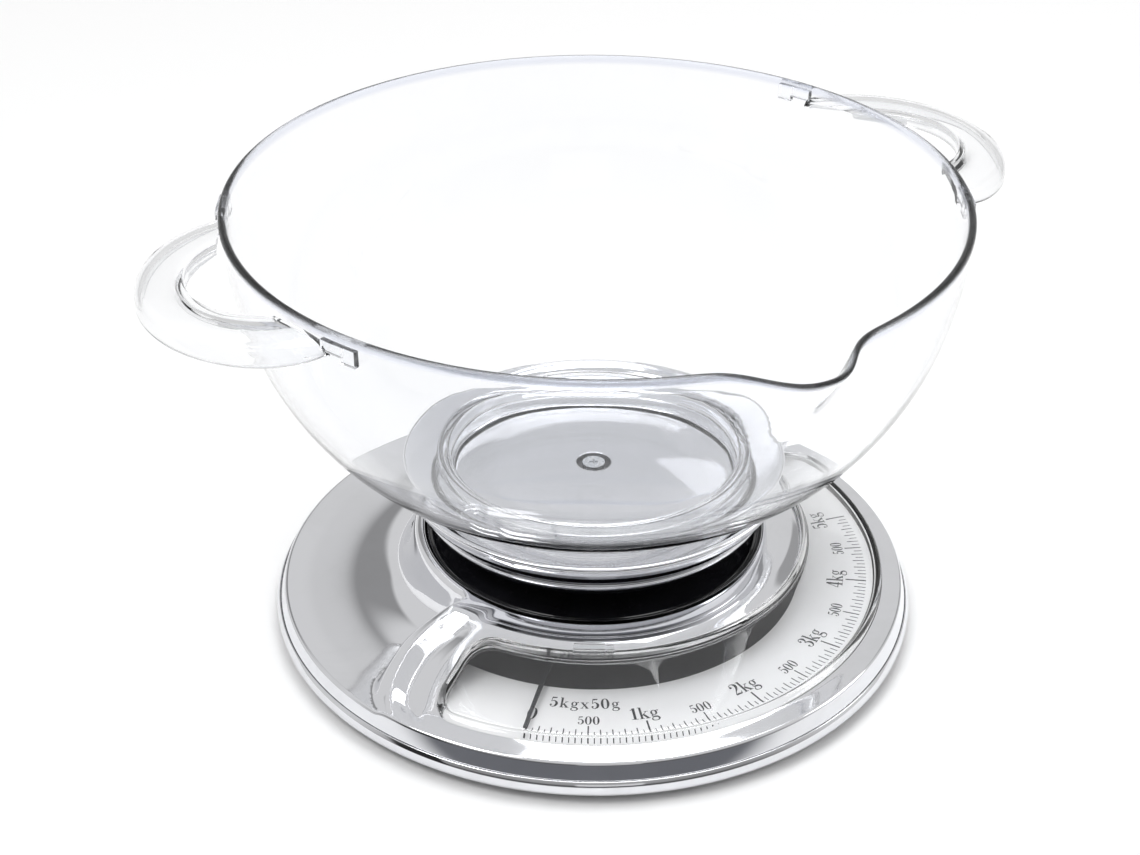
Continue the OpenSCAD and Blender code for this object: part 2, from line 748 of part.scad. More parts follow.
module crown_gear() {
    tooth_w = crown_w - 0.4;
    color("#c9a44a") {
        ring(hub_r + tooth_w / 2, bush_r + hub_wall, hub_z, 1.2);
        for (i = [0 : hub_teeth - 1]) rotate([0, 0, i * 360 / hub_teeth + 90])
            translate([hub_r - tooth_w / 2, -gear_module * 0.38, hub_z - tooth_h * 0.8])
                cube([tooth_w - 0.1, gear_module * 0.76, tooth_h * 0.8 + 0.2]);
    }
}

module hub_clip() {
    color("#c5c8cc") ring(bush_r + 1.2, bush_r, hub_z - 1, 0.7);
}

module pointer() {
    high = hub_z + hub_h;
    color("#17181a") rotate([0, 0, zero_angle]) difference() {
        union() {
            ring(hub_r + 1.4, bush_r + hub_wall, high - 1.4, 1.4 + pointer_wall);
            translate([0, pointer_w * 0.7, 0]) rotate([90, 0, 0]) linear_extrude(pointer_w * 1.4)
                polygon([[bush_r + 2, high], [pointer_bend_r, high], [pointer_flat_r, pointer_low_z],
                         [pointer_flat_r + 4, pointer_low_z],
                         [pointer_flat_r + 4, pointer_low_z + pointer_wall],
                         [pointer_flat_r + 0.4, pointer_low_z + pointer_wall],
                         [pointer_bend_r + 0.4, high + pointer_wall], [bush_r + 2, high + pointer_wall]]);
            translate([0, 0, pointer_low_z]) linear_extrude(pointer_wall)
                polygon([[pointer_flat_r, -pointer_w * 0.7], [pointer_tip_r, -pointer_w * 0.35],
                         [pointer_tip_r, pointer_w * 0.35], [pointer_flat_r, pointer_w * 0.7]]);
            translate([-pointer_tail_r, -pointer_tail[1] / 2, high])
                cube([pointer_tail[0], pointer_tail[1], pointer_wall]);
        }
        translate([0, 0, high - 2]) cylinder(r = bush_r + hub_wall, h = 6);
    }
}

// Height of the bowl's outside at radius r
function bowl_z(r) = rim_z - bowl_depth * pow(1 - pow(min(r / bowl_r, 1), bowl_round), 1 / bowl_flat);
bowl_profile = [for (i = [bowl_steps : -1 : 0])
    let (r = bowl_foot_r + (bowl_r - bowl_foot_r) * sin(90 * i / bowl_steps)) [r, bowl_z(r)]];

function oval(cx, a, b, steps) =
    [for (i = [0 : steps - 1]) [cx + a * cos(360 * i / steps), b * sin(360 * i / steps)]];

module handle_outline(grow) {
    a = handle_root + handle_reach;
    polygon(oval(bowl_r - handle_root, a + grow, handle_w / 2 + grow, 72));
}

module finger_outline(grow) {
    difference() {
        polygon(oval(bowl_r - handle_root, handle_root + finger_depth + 2 + grow, handle_w * 0.3 + grow, 60));
        circle(r = bowl_r + 2 - grow);
    }
}

module handle() {
    difference() {
        union() {
            translate([0, 0, handle_top - handle_wall]) linear_extrude(handle_wall) difference() {
                handle_outline(0);
                circle(r = bowl_r - 1.2);
            }
            translate([0, 0, handle_top - handle_skirt]) linear_extrude(handle_skirt) difference() {
                handle_outline(0);
                handle_outline(-handle_wall);
                circle(r = bowl_r - 1.2);
            }
            translate([0, 0, handle_top - handle_skirt * 0.7]) linear_extrude(handle_skirt * 0.7)
                finger_outline(handle_wall);
        }
        translate([0, 0, handle_top - 30]) linear_extrude(40) finger_outline(0);
    }
}

module spout_cone(inset) {
    top_r = spout_w / 2 - inset;
    translate([0, -(bowl_r - spout_root), rim_z - spout_depth])
        cylinder(r1 = 1, r2 = top_r, h = spout_depth + (inset > 0 ? 0.01 : 0), $fn = 96);
}

module bowl() {
    inside = beside(bowl_profile, bowl_wall);
    last = len(inside) - 1;
    color("#dfe8f2", 0.35) rotate([0, 0, bowl_turn]) difference() {
        union() {
            turned_shell(concat(bowl_profile, [[0.01, bowl_profile[bowl_steps][1]]]), bowl_wall);
            ring(bowl_foot_r, bowl_foot_r - 2, seat_z, bowl_profile[bowl_steps][1] - seat_z + 1);
            ring(bowl_r + 0.4, bowl_r - 2 * rim_bead, rim_z - 2 * rim_bead, 2 * rim_bead);
            for (a = [0, 180]) rotate([0, 0, a]) handle();
            difference() {
                spout_cone(0);
                turned_solid(concat([[inside[0][0], rim_z + cut]], inside, [[0.02, inside[last][1]]]),
                             rim_z + cut);
            }
        }
        intersection() {
            spout_cone(bowl_wall);
            translate([-60, -bowl_r - 60, 0]) cube([120, 120, rim_z + cut]);
        }
    }
}

base_pan();
rim_roll();
top_cover();
window();
dial_plate();
dial_mask();
well_collar();
chassis_plate();
bridge_posts();
bridge_plate();
bridge_screws();
guide_bush();
shaft_bracket();
zero_ring();
cover_screws();
feet();
platform_pan();
platform_skirt();
platform_hub();
load_rod();
rod_screw();
main_spring();
rack_carrier();
rack();
pinion_shaft();
drive_pinion();
crown_pinion();
pointer_hub();
crown_gear();
hub_clip();
pointer();
bowl();
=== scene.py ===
"""Looks of the kitchen scale: chrome base, printed dial, platform and clear bowl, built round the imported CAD."""
import itertools
import json
import math

import bmesh
import bpy
import numpy as np
from mathutils import Matrix, Vector
from mathutils.geometry import delaunay_2d_cdt


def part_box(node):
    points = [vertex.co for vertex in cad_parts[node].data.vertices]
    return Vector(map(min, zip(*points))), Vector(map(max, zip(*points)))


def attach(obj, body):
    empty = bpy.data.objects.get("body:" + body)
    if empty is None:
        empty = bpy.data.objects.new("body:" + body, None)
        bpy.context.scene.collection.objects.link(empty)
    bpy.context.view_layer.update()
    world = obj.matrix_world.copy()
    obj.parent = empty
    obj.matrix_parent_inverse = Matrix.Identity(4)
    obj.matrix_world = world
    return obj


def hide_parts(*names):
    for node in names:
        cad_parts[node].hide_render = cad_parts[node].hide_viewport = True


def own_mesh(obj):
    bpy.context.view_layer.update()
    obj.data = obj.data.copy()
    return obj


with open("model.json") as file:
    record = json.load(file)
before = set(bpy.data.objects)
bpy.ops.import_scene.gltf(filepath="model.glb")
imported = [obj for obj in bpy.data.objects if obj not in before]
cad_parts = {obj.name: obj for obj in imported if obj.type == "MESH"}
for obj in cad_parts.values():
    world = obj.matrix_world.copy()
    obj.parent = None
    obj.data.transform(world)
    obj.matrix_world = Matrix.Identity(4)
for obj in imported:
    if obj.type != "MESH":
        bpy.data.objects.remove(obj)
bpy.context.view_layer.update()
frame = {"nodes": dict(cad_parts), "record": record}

MM = 0.001


def edges_of(node):
    """Lowest and highest corner of a CAD node, in millimetres."""
    low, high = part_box(node)
    return np.array(low) / MM, np.array(high) / MM


# Sizes in millimetres that the looks share with the part
BASE_R = edges_of("rim_roll")[1][0]
COVER_R = edges_of("top_cover")[1][0]
COVER_FOOT = edges_of("top_cover")[0][2]
WELL_R = 62.0
DIAL_IN, DIAL_OUT = 76.2, 104.5
DIAL_TOP = edges_of("dial_plate")[1][2]
WINDOW_IN, WINDOW_OUT = 77.0, 107.4
ZERO_AZIMUTH = -102.5
SWEEP = 120.0
FULL_LOAD = 5000          # grams at the end of the sweep
TICK_OUT = 101.5
INK_THICK = 0.03
MID_AZIMUTH = ZERO_AZIMUTH + SWEEP / 2
WINDOW_HALF = SWEEP / 2 + 18.5
HOOD_LOW, HOOD_SLOPE = 16.3, 0.473684
RIM_Z = edges_of("bowl")[1][2]
BOWL_R = 125.5
BOWL_DEPTH = 106.0
FOOT_R = 55.5
BOWL_TURN = 28.0
BOWL_WALL = 2.4
HANDLE_DROP = 3.5         # handles lie this far under the rim
SPRING_R, SPRING_WIRE, SPRING_TURNS = 11.0, 1.8, 5.0


# ---------------------------------------------------------------- profiles

def softened(points, sigma, step=0.15):
    """A polyline made a flowing curve: Catmull-Rom through its points, then evened out over sigma millimetres."""
    p = np.array(points, float)
    ends = np.vstack([2 * p[0] - p[1], p, 2 * p[-1] - p[-2]])
    dense = []
    for a, b, c, d in zip(ends[:-3], ends[1:-2], ends[2:-1], ends[3:]):
        for t in np.linspace(0, 1, 24, endpoint=False):
            m0, m1 = (c - a) / 2, (d - b) / 2
            dense.append((2 * t**3 - 3 * t**2 + 1) * b + (t**3 - 2 * t**2 + t) * m0
                         + (3 * t**2 - 2 * t**3) * c + (t**3 - t**2) * m1)
    dense = np.array(dense + [p[-1]])
    length = np.concatenate([[0], np.cumsum(np.linalg.norm(np.diff(dense, axis=0), axis=1))])
    even = np.arange(0, length[-1], step)
    line = np.column_stack([np.interp(even, length, dense[:, k]) for k in (0, 1)])
    reach = int(4 * sigma / step)
    head = 2 * line[0] - line[1:reach + 1][::-1]
    tail = 2 * line[-1] - line[-reach - 1:-1][::-1]
    padded = np.vstack([head, line, tail])
    weight = np.exp(-0.5 * (np.arange(-reach, reach + 1) * step / sigma) ** 2)
    weight /= weight.sum()
    return np.column_stack([np.convolve(padded[:, k], weight, "valid") for k in (0, 1)])


def thinned(line, turn=4.0, longest=3.0):
    """Fewer points of a curve: close where it bends, far apart where it is straight."""
    keep = [0]
    heading = math.atan2(*(line[1] - line[0])[::-1])
    for i in range(1, len(line) - 1):
        now = math.atan2(*(line[i + 1] - line[i])[::-1])
        bent = abs((now - heading + math.pi) % (2 * math.pi) - math.pi)
        if math.degrees(bent) > turn or np.linalg.norm(line[i] - line[keep[-1]]) > longest:
            keep.append(i)
            heading = now
    return line[keep + [len(line) - 1]]


def rounded(points, radii):
    """A closed outline with every corner turned into an arc of its radius."""
    p = np.array(points, float)
    n = len(p)
    radii = np.broadcast_to(radii, n)
    out = []
    for i in range(n):
        a, b, c = p[i - 1], p[i], p[(i + 1) % n]
        u, v = (a - b) / np.linalg.norm(a - b), (c - b) / np.linalg.norm(c - b)
        half = math.acos(np.clip(u @ v, -1, 1)) / 2
        cut = min(radii[i] / max(math.tan(half), 1e-6), 0.48 * np.linalg.norm(a - b), 0.48 * np.linalg.norm(c - b))
        r = cut * math.tan(half)
        centre = b + (u + v) / np.linalg.norm(u + v) * r / math.sin(half)
        start, end = b + u * cut - centre, b + v * cut - centre
        a0, a1 = math.atan2(start[1], start[0]), math.atan2(end[1], end[0])
        turn = (a1 - a0 + math.pi) % (2 * math.pi) - math.pi
        for k in range(max(2, round(abs(turn) / 0.2)) + 1):
            angle = a0 + turn * k / max(2, round(abs(turn) / 0.2))
            out.append(centre + r * np.array([math.cos(angle), math.sin(angle)]))
    return np.array(out)


def wall_of(line, thickness):
    """Closed outline of a wall whose outside is the line and whose inside lies to the line's left."""
    d = np.gradient(line, axis=0)
    d /= np.linalg.norm(d, axis=1)[:, None]
    inner = line + np.column_stack([-d[:, 1], d[:, 0]]) * thickness
    return np.vstack([line, inner[::-1]])


# ---------------------------------------------------------------- meshes

def azimuths(fine_zones=(), fine=0.5, coarse=1.5):
    """Directions round the axis in degrees, closer together inside the zones, each (middle, half width)."""
    out, a = [], -180.0
    while a < 180 - 1e-9:
        out.append(a)
        near = any(abs((a - m + 180) % 360 - 180) < w for m, w in fine_zones)
        a = round(a + (fine if near else coarse), 6)
    return np.array(out)


def new_piece(name, verts, faces, body, finish, stands_for=(), normals=None, sharp=None):
    """A finished piece from points in millimetres: rides on a body and stands for CAD nodes."""
    mesh = bpy.data.meshes.new(name)
    mesh.from_pydata((np.asarray(verts, float) * MM).tolist(), [], [tuple(map(int, f)) for f in faces])
    mesh.update()
    mesh.polygons.foreach_set("use_smooth", [True] * len(mesh.polygons))
    if normals is not None:
        mesh.normals_split_custom_set_from_vertices(np.asarray(normals, float).tolist())
    elif sharp:
        mesh.set_sharp_from_angle(angle=math.radians(sharp))
    return finished(bpy.data.objects.new(name, mesh), body, finish, stands_for)


def finished(piece, body, finish, stands_for=()):
    """Puts a piece on its body with its finish."""
    if piece.name not in bpy.context.scene.collection.all_objects:
        bpy.context.scene.collection.objects.link(piece)
    piece.data.materials.clear()
    piece.data.materials.append(finish)
    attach(piece, body)
    if stands_for:
        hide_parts(*stands_for)
    return piece


def grid_faces(rows, columns, close_rows=False, close_columns=True, flip=False):
    """Quads of a grid of rows by columns, numbered row by row."""
    faces = []
    for j in range(rows if close_rows else rows - 1):
        k = (j + 1) % rows
        for i in range(columns if close_columns else columns - 1):
            m = (i + 1) % columns
            quad = (j * columns + i, j * columns + m, k * columns + m, k * columns + i)
            faces.append(quad[::-1] if flip else quad)
    return faces


def turned(name, outline, body, finish, stands_for=(), steps=160):
    """A turned piece from a closed outline of (radius, height) that runs counter-clockwise."""
    p = np.array(outline, float)
    if 0.5 * np.sum(p[:, 0] * np.roll(p[:, 1], -1) - np.roll(p[:, 0], -1) * p[:, 1]) < 0:
        p = p[::-1]
    along = np.roll(p, -1, axis=0) - np.roll(p, 1, axis=0)
    along /= np.linalg.norm(along, axis=1)[:, None]
    a = np.radians(azimuths(coarse=360 / steps))
    verts = np.stack([np.outer(p[:, 0], np.cos(a)), np.outer(p[:, 0], np.sin(a)),
                      np.repeat(p[:, 1:2], len(a), 1)], -1).reshape(-1, 3)
    normals = np.stack([np.outer(along[:, 1], np.cos(a)), np.outer(along[:, 1], np.sin(a)),
                        np.repeat(-along[:, 0:1], len(a), 1)], -1).reshape(-1, 3)
    faces = grid_faces(len(p), len(a), close_rows=True)
    return new_piece(name, verts, faces, body, finish, stands_for, normals)


def welded(verts, faces, normals=None):
    """Points that coincide made one, and faces that lose their area dropped."""
    key = np.round(np.asarray(verts) * 2000).astype(np.int64)
    _, first, where = np.unique(key, axis=0, return_index=True, return_inverse=True)
    where = where.ravel()
    kept = []
    for f in faces:
        g = [where[i] for i in f]
        g = [v for i, v in enumerate(g) if v != g[i - 1]]
        if len(set(g)) >= 3:
            kept.append(g)
    return np.asarray(verts)[first], kept, None if normals is None else np.asarray(normals)[first]


# ---------------------------------------------------------------- finishes

class Val:
    """A shader socket that takes part in Python expressions."""

    def __init__(self, tree, socket):
        self.tree, self.socket = tree, socket

    def _math(self, operation, *others):
        node = self.tree.nodes.new("ShaderNodeMath")
        node.operation = operation
        for socket, value in zip(node.inputs, others):
            if isinstance(value, Val):
                self.tree.links.new(value.socket, socket)
            else:
                socket.default_value = value
        return Val(self.tree, node.outputs[0])

    def __add__(self, other): return self._math("ADD", self, other)
    def __radd__(self, other): return self._math("ADD", other, self)
    def __sub__(self, other): return self._math("SUBTRACT", self, other)
    def __rsub__(self, other): return self._math("SUBTRACT", other, self)
    def __mul__(self, other): return self._math("MULTIPLY", self, other)
    def __rmul__(self, other): return self._math("MULTIPLY", other, self)
    def __truediv__(self, other): return self._math("DIVIDE", self, other)
    def __pow__(self, other): return self._math("POWER", self, other)
    def __abs__(self): return self._math("ABSOLUTE", self)
    def sine(self): return self._math("SINE", self)
    def cosine(self): return self._math("COSINE", self)
    def above(self, level): return self._math("GREATER_THAN", self, level)
    def least(self, other): return self._math("MINIMUM", self, other)
    def most(self, other): return self._math("MAXIMUM", self, other)

    def ramp(self, low, high):
        """0 below low, 1 above high, smooth between."""
        t = ((self - low) / (high - low)).most(0.0).least(1.0)
        return t * t * (3 - 2 * t)


class Finish:
    """A material or world under construction."""

    def __init__(self, owner):
        owner.use_nodes = True
        self.owner, self.tree = owner, owner.node_tree
        self.tree.nodes.clear()

    def node(self, kind, settings=None, values=None, out=0):
        """Adds a node of a type, applies its settings, then its input values or links, and gives one output."""
        n = self.tree.nodes.new(kind)
        for key, value in (settings or {}).items():
            if key == "stops":
                ramp = n.color_ramp
                while len(ramp.elements) < len(value):
                    ramp.elements.new(0.5)
                for element, (place, colour) in zip(ramp.elements, value):
                    element.position, element.color = place, (*colour, 1)
            else:
                setattr(n, key, value)
        for key, value in (values or {}).items():
            self.put(n.inputs[key], value)
        return Val(self.tree, n.outputs[out])

    def put(self, socket, value):
        if isinstance(value, Val):
            self.tree.links.new(value.socket, socket)
        elif socket.type == "RGBA" and len(value) == 3:
            socket.default_value = (*value, 1)
        else:
            socket.default_value = value

    def place(self, scale=(1, 1, 1), turn=(0, 0, 0)):
        """Object coordinates, stretched and turned."""
        where = self.node("ShaderNodeTexCoord", out=3)
        return self.node("ShaderNodeMapping", values={"Vector": where, "Scale": scale, "Rotation": turn})

    def axes(self):
        split = self.tree.nodes.new("ShaderNodeSeparateXYZ")
        self.tree.links.new(self.node("ShaderNodeTexCoord", out=3).socket, split.inputs[0])
        return [Val(self.tree, s) for s in split.outputs]

    def noise(self, scale, detail=3.0, rough=0.5, where=None, bend=0.0):
        values = {"Scale": scale, "Detail": detail, "Roughness": rough, "Distortion": bend,
                  "Vector": where or self.place()}
        return self.node("ShaderNodeTexNoise", values=values)

    def cells(self, scale, where=None, feature="F1"):
        return self.node("ShaderNodeTexVoronoi", {"feature": feature},
                         {"Scale": scale, "Vector": where or self.place()})

    def mix(self, share, a, b):
        """A colour between two colours."""
        n = self.tree.nodes.new("ShaderNodeMix")
        n.data_type = "RGBA"
        for socket, value in zip((n.inputs[0], n.inputs[6], n.inputs[7]), (share, a, b)):
            self.put(socket, value)
        return Val(self.tree, n.outputs[2])

    def bump(self, height, strength, distance, under=None):
        values = {"Height": height, "Strength": strength, "Distance": distance}
        if under is not None:
            values["Normal"] = under
        return self.node("ShaderNodeBump", values=values)

    def surface(self, **inputs):
        """Ends the material in one Principled shader."""
        n = self.tree.nodes.new("ShaderNodeBsdfPrincipled")
        for key, value in inputs.items():
            self.put(n.inputs[key.replace("_", " ")], value)
        self.shader = n.outputs[0]
        self.end(self.shader)
        return self.owner

    def end(self, shader):
        output = next((n for n in self.tree.nodes if n.type == "OUTPUT_MATERIAL"), None)
        output = output or self.tree.nodes.new("ShaderNodeOutputMaterial")
        self.tree.links.new(shader, output.inputs[0])

    def let_lamps_through(self, tint):
        """Light from lamps reaches what is behind this clear piece."""
        path = self.tree.nodes.new("ShaderNodeLightPath")
        clear = self.tree.nodes.new("ShaderNodeBsdfTransparent")
        clear.inputs[0].default_value = (*tint, 1)
        blend = self.tree.nodes.new("ShaderNodeMixShader")
        self.tree.links.new(path.outputs["Is Shadow Ray"], blend.inputs[0])
        self.tree.links.new(self.shader, blend.inputs[1])
        self.tree.links.new(clear.outputs[0], blend.inputs[2])
        self.end(blend.outputs[0])
        return self.owner


def begin(name):
    return Finish(bpy.data.materials.new(name))


def polished_chrome():
    """Mirror plating over a moulded part: faint flow waves, wiped smudges, dust and hair scratches."""
    f = begin("polished_chrome")
    wipe = f.noise(26, 4, 0.62, f.place((1, 1, 1), (0, 0, 0.5)), bend=1.2).ramp(0.42, 0.75)
    haze = f.noise(7, 2).ramp(0.35, 0.7)
    dust = 1 - f.cells(900).ramp(0.05, 0.12)
    dust = dust * f.noise(60, 2).ramp(0.55, 0.7)
    hairs = f.noise(1.0, 2, 0.5, f.place((2600, 42, 900), (0, 0, 0.7))).ramp(0.66, 0.74)
    hairs = hairs + f.noise(1.0, 2, 0.5, f.place((38, 2300, 800), (0, 0, -0.4))).ramp(0.68, 0.76)
    colour = f.mix(wipe * 0.6, (0.79, 0.795, 0.82), (0.74, 0.745, 0.765))
    colour = f.mix(dust * 0.5, colour, (0.62, 0.61, 0.6))
    wave = f.noise(16, 1, 0.3)
    normal = f.bump(wave, 0.06, 0.0008)
    normal = f.bump(hairs, 0.0012, 0.00001, normal)
    return f.surface(Base_Color=colour, Metallic=1.0,
                     Roughness=0.03 + wipe * 0.035 + haze * 0.02 + dust * 0.25 + hairs * 0.012, Normal=normal)


def clear_plastic(name, tint, shade, thin_tint, bend, rim_z=None):
    """Clear moulded plastic: slight flow waves, wiped haze, fine wear marks, and a frosted rim above rim_z."""
    f = begin(name)
    haze = f.noise(34, 4, 0.6, bend=1.0).ramp(0.5, 0.85)
    marks = f.noise(1.0, 2, 0.5, f.place((50, 1900, 700), (0.3, 0, 0.9))).ramp(0.68, 0.78)
    z = f.axes()[2]
    rim = (z - rim_z * MM).ramp(0.0, 0.001) if rim_z else z * 0
    colour = f.mix(rim, f.mix(haze * 0.5, tint, shade), (0.86, 0.88, 0.95))
    flow = f.noise(22, 1, 0.3)
    normal = f.bump(flow, 0.10, 0.0010)
    normal = f.bump(marks, 0.012, 0.00002, normal)
    f.surface(Base_Color=colour, Roughness=0.008 + haze * 0.025 + marks * 0.02 + rim * 0.24, IOR=bend,
              Transmission_Weight=1.0, Normal=normal)
    return f.let_lamps_through(thin_tint)


def printed_card():
    """White dial sheet: faint fibre, and painted shade darkening it towards both edges, under the window's walls."""
    f = begin("dial_sheet")
    fibre = f.noise(2400, 3, 0.6)
    cloud = f.noise(30, 3)
    x, y, z = f.axes()
    radius = (x * x + y * y) ** 0.5
    # painted shade: within about 3 mm of its inner and outer edges the sheet is darkened, where the window's walls
    # shade it
    edge = abs(radius - (DIAL_IN + DIAL_OUT) / 2 * MM).ramp(0.011, 0.0145)
    colour = f.mix(cloud * 0.5, (0.76, 0.752, 0.75), (0.71, 0.702, 0.70))
    colour = f.mix(edge * 0.35, colour, (0.62, 0.61, 0.59))
    return f.surface(Base_Color=colour, Roughness=0.42 + fibre * 0.14, Normal=f.bump(fibre, 0.18, 0.00003))


def printing_ink():
    f = begin("printing_ink")
    grain = f.noise(3200, 3, 0.6)
    wear = f.noise(220, 3).ramp(0.6, 0.8)
    colour = f.mix(wear * 0.35, (0.012, 0.012, 0.014), (0.06, 0.06, 0.062))
    return f.surface(Base_Color=colour, Roughness=0.32 + grain * 0.2, Normal=f.bump(grain, 0.2, 0.00002))


def black_plastic(name, base, dull, rough, grain_size, depth):
    """Black moulded plastic with its mould texture, dust in the texture and rubbed high spots."""
    f = begin(name)
    texture = f.cells(grain_size) * 0.6 + f.noise(grain_size * 0.7, 3) * 0.6
    rub = f.noise(38, 4, 0.6).ramp(0.45, 0.75)
    dust = f.noise(700, 3, 0.7).ramp(0.62, 0.8)
    colour = f.mix(rub * 0.5, base, dull)
    colour = f.mix(dust * 0.12, colour, (0.35, 0.34, 0.33))
    return f.surface(Base_Color=colour, Roughness=rough + rub * 0.08 + dust * 0.12,
                     Normal=f.bump(texture, 0.3, depth))


def stamped_steel(name, base, stain, rough, turn=0.0):
    """Rolled sheet steel: long rolling lines, cloudy oil film and a few bright scuffs."""
    f = begin(name)
    lines = f.noise(1.0, 4, 0.7, f.place((45, 2200, 45), (0, 0, turn)))
    film = f.noise(48, 4, 0.6, bend=0.8).ramp(0.35, 0.75)
    scuff = f.noise(1.0, 2, 0.5, f.place((1500, 90, 400), (0, 0, 0.8))).ramp(0.67, 0.75)
    colour = f.mix(film * 0.6, base, stain)
    colour = f.mix(scuff * 0.5, colour, (0.8, 0.8, 0.8))
    return f.surface(Base_Color=colour, Metallic=1.0, Roughness=rough + lines * 0.18 - scuff * 0.08,
                     Normal=f.bump(lines, 0.25, 0.00003))


def turned_brass():
    """Machined brass: fine tool rings round the axis and brown tarnish in patches."""
    f = begin("machined_brass")
    x, y, z = f.axes()
    radius = (x * x + y * y) ** 0.5
    rings = (radius * 9000 + z * 9000).sine() * 0.5 + 0.5
    tarnish = f.noise(120, 4, 0.65).ramp(0.45, 0.75)
    colour = f.mix(tarnish * 0.7, (0.78, 0.60, 0.27), (0.46, 0.30, 0.13))
    return f.surface(Base_Color=colour, Metallic=1.0, Roughness=0.22 + tarnish * 0.25 + rings * 0.05,
                     Normal=f.bump(rings, 0.15, 0.00002))


def foot_rubber():
    f = begin("foot_rubber")
    grain = f.noise(1800, 4, 0.7)
    scuff = f.noise(90, 3).ramp(0.5, 0.8)
    colour = f.mix(scuff * 0.5, (0.045, 0.045, 0.047), (0.11, 0.108, 0.105))
    return f.surface(Base_Color=colour, Roughness=0.72 + grain * 0.2, Normal=f.bump(grain, 0.4, 0.00006))


def zinc_plate():
    f = begin("zinc_plate")
    spangle = f.cells(1400, feature="SMOOTH_F1")
    dirt = f.noise(300, 4).ramp(0.5, 0.75)
    colour = f.mix(spangle * 0.6, (0.72, 0.74, 0.78), (0.6, 0.61, 0.6))
    colour = f.mix(dirt * 0.5, colour, (0.30, 0.28, 0.25))
    return f.surface(Base_Color=colour, Metallic=1.0, Roughness=0.26 + dirt * 0.3,
                     Normal=f.bump(spangle, 0.2, 0.00004))


def floor_paint():
    f = begin("studio_floor")
    tone = f.noise(3, 2)
    colour = f.mix(tone * 0.2, (0.93, 0.93, 0.93), (0.90, 0.90, 0.90))
    # painted reflection: only to rays reflected off the chrome, the floor on the reader's side is darkened, standing
    # in for a dim room
    path = f.tree.nodes.new("ShaderNodeLightPath")
    painted_reflection_rays = Val(f.tree, path.outputs["Is Glossy Ray"]) * (1 - Val(f.tree, path.outputs["Is Transmission Ray"]))
    x, y, z = f.axes()
    colour = f.mix(painted_reflection_rays * (0 - y).ramp(0.128, 0.21), colour, (0.10, 0.105, 0.12))
    return f.surface(Base_Color=colour, Roughness=0.6 + f.noise(40, 2) * 0.1)


CHROME = polished_chrome()
BOWL_CLEAR = clear_plastic("bowl_plastic", (0.985, 0.99, 1.0), (0.95, 0.955, 0.97), (0.93, 0.94, 0.95), 1.36,
                           RIM_Z - 3.5)
WINDOW_CLEAR = clear_plastic("window_plastic", (0.985, 0.99, 0.995), (0.95, 0.955, 0.96), (0.95, 0.955, 0.96), 1.5)
CARD = printed_card()
INK = printing_ink()
BLACK_GLOSS = black_plastic("gloss_black", (0.008, 0.008, 0.01), (0.02, 0.02, 0.024), 0.05, 500, 0.000004)
BLACK_MATTE = black_plastic("matte_black", (0.018, 0.018, 0.02), (0.045, 0.045, 0.047), 0.42, 1600, 0.00004)
STEEL = stamped_steel("stamped_steel", (0.56, 0.57, 0.59), (0.42, 0.42, 0.43), 0.26)
SPRING_STEEL = stamped_steel("spring_wire", (0.50, 0.51, 0.54), (0.34, 0.33, 0.33), 0.24, 0.9)
BRASS = turned_brass()
RUBBER = foot_rubber()
ZINC = zinc_plate()

SLOT_FINISH = {"chrome": CHROME, "clear_window": WINDOW_CLEAR, "clear_bowl": BOWL_CLEAR, "dial_white": CARD,
               "black_gloss": BLACK_GLOSS, "black_matte": BLACK_MATTE, "steel": STEEL, "brass": BRASS,
               "spring_steel": SPRING_STEEL, "rubber": RUBBER, "zinc": ZINC}
for part in frame["record"]["subparts"]:
    node = frame["nodes"][part["node"]]
    for holder in node.material_slots:
        holder.material = SLOT_FINISH[part["material_slot"]]


# ---------------------------------------------------------------- chrome base

deck_line = softened([(62, 33.5), (63.4, 34), (64.8, 33.7), (66, 32.4), (67.2, 28), (69, 22.6), (72, 17.6),
                      (76.2, 14.6), (83.2, 12.5), (90.2, 12.0), (104.5, 12.7), (115.0, 13.6)], 0.9)
hood_line = softened([(62, 33.5), (63.4, 34), (66, 33.95), (72, 33.0), (77, 30.7), (85, 26.9), (95, 22.17),
                      (106, 16.96), (108.2, 16.15), (111.5, 15.55), (115.0, 14.9)], 0.7)
TOP_IN, TOP_OUT = 63.4, 113.6
EDGE_ROUND = 1.5
WINDOW_CORNER_IN, WINDOW_CORNER_OUT = 11.0, 9.0
WALL_LEAN = 20.0


# half angle of the hood's crest at each radius: it bows back, then sweeps forward along the base's edge
crest_line = softened([(60, 86.6), (66, 88.3), (70, 89.6), (75, 91.2), (80, 92.3), (85, 93.0), (90, 93.1),
                       (95, 92.4), (100, 91.4), (105, 90.0), (109, 87.9), (112, 85.7), (115, 83.3), (119, 80)], 1.6)


def hood_edge(r):
    return np.interp(r, crest_line[:, 0], crest_line[:, 1])


def cover_height(x, y):
    """Height of the cover's outside: the deck, the hood, and between them a flank, a round crest and a scoop."""
    r = np.hypot(x, y)
    off = np.abs((np.degrees(np.arctan2(y, x)) - MID_AZIMUTH + 180) % 360 - 180)
    s = np.radians(hood_edge(r) - off) * r
    t = np.clip((s + 6.5) / 8.5, 0, 1)
    lift = np.sin(t * t * (3 - 2 * t) * np.pi / 2) ** 0.9
    deck = np.interp(r, deck_line[:, 0], deck_line[:, 1])
    hood = np.interp(r, hood_line[:, 0], hood_line[:, 1])
    fade = np.clip((r - 66) / 14, 0, 1) * np.clip((114 - r) / 10, 0, 1)
    crest = 0.7 * np.exp(-((s - 3.2) / 2.6) ** 2) - 1.5 * np.exp(-((s - 11.5) / 4.6) ** 2)
    return deck + (hood - deck) * lift + crest * fade


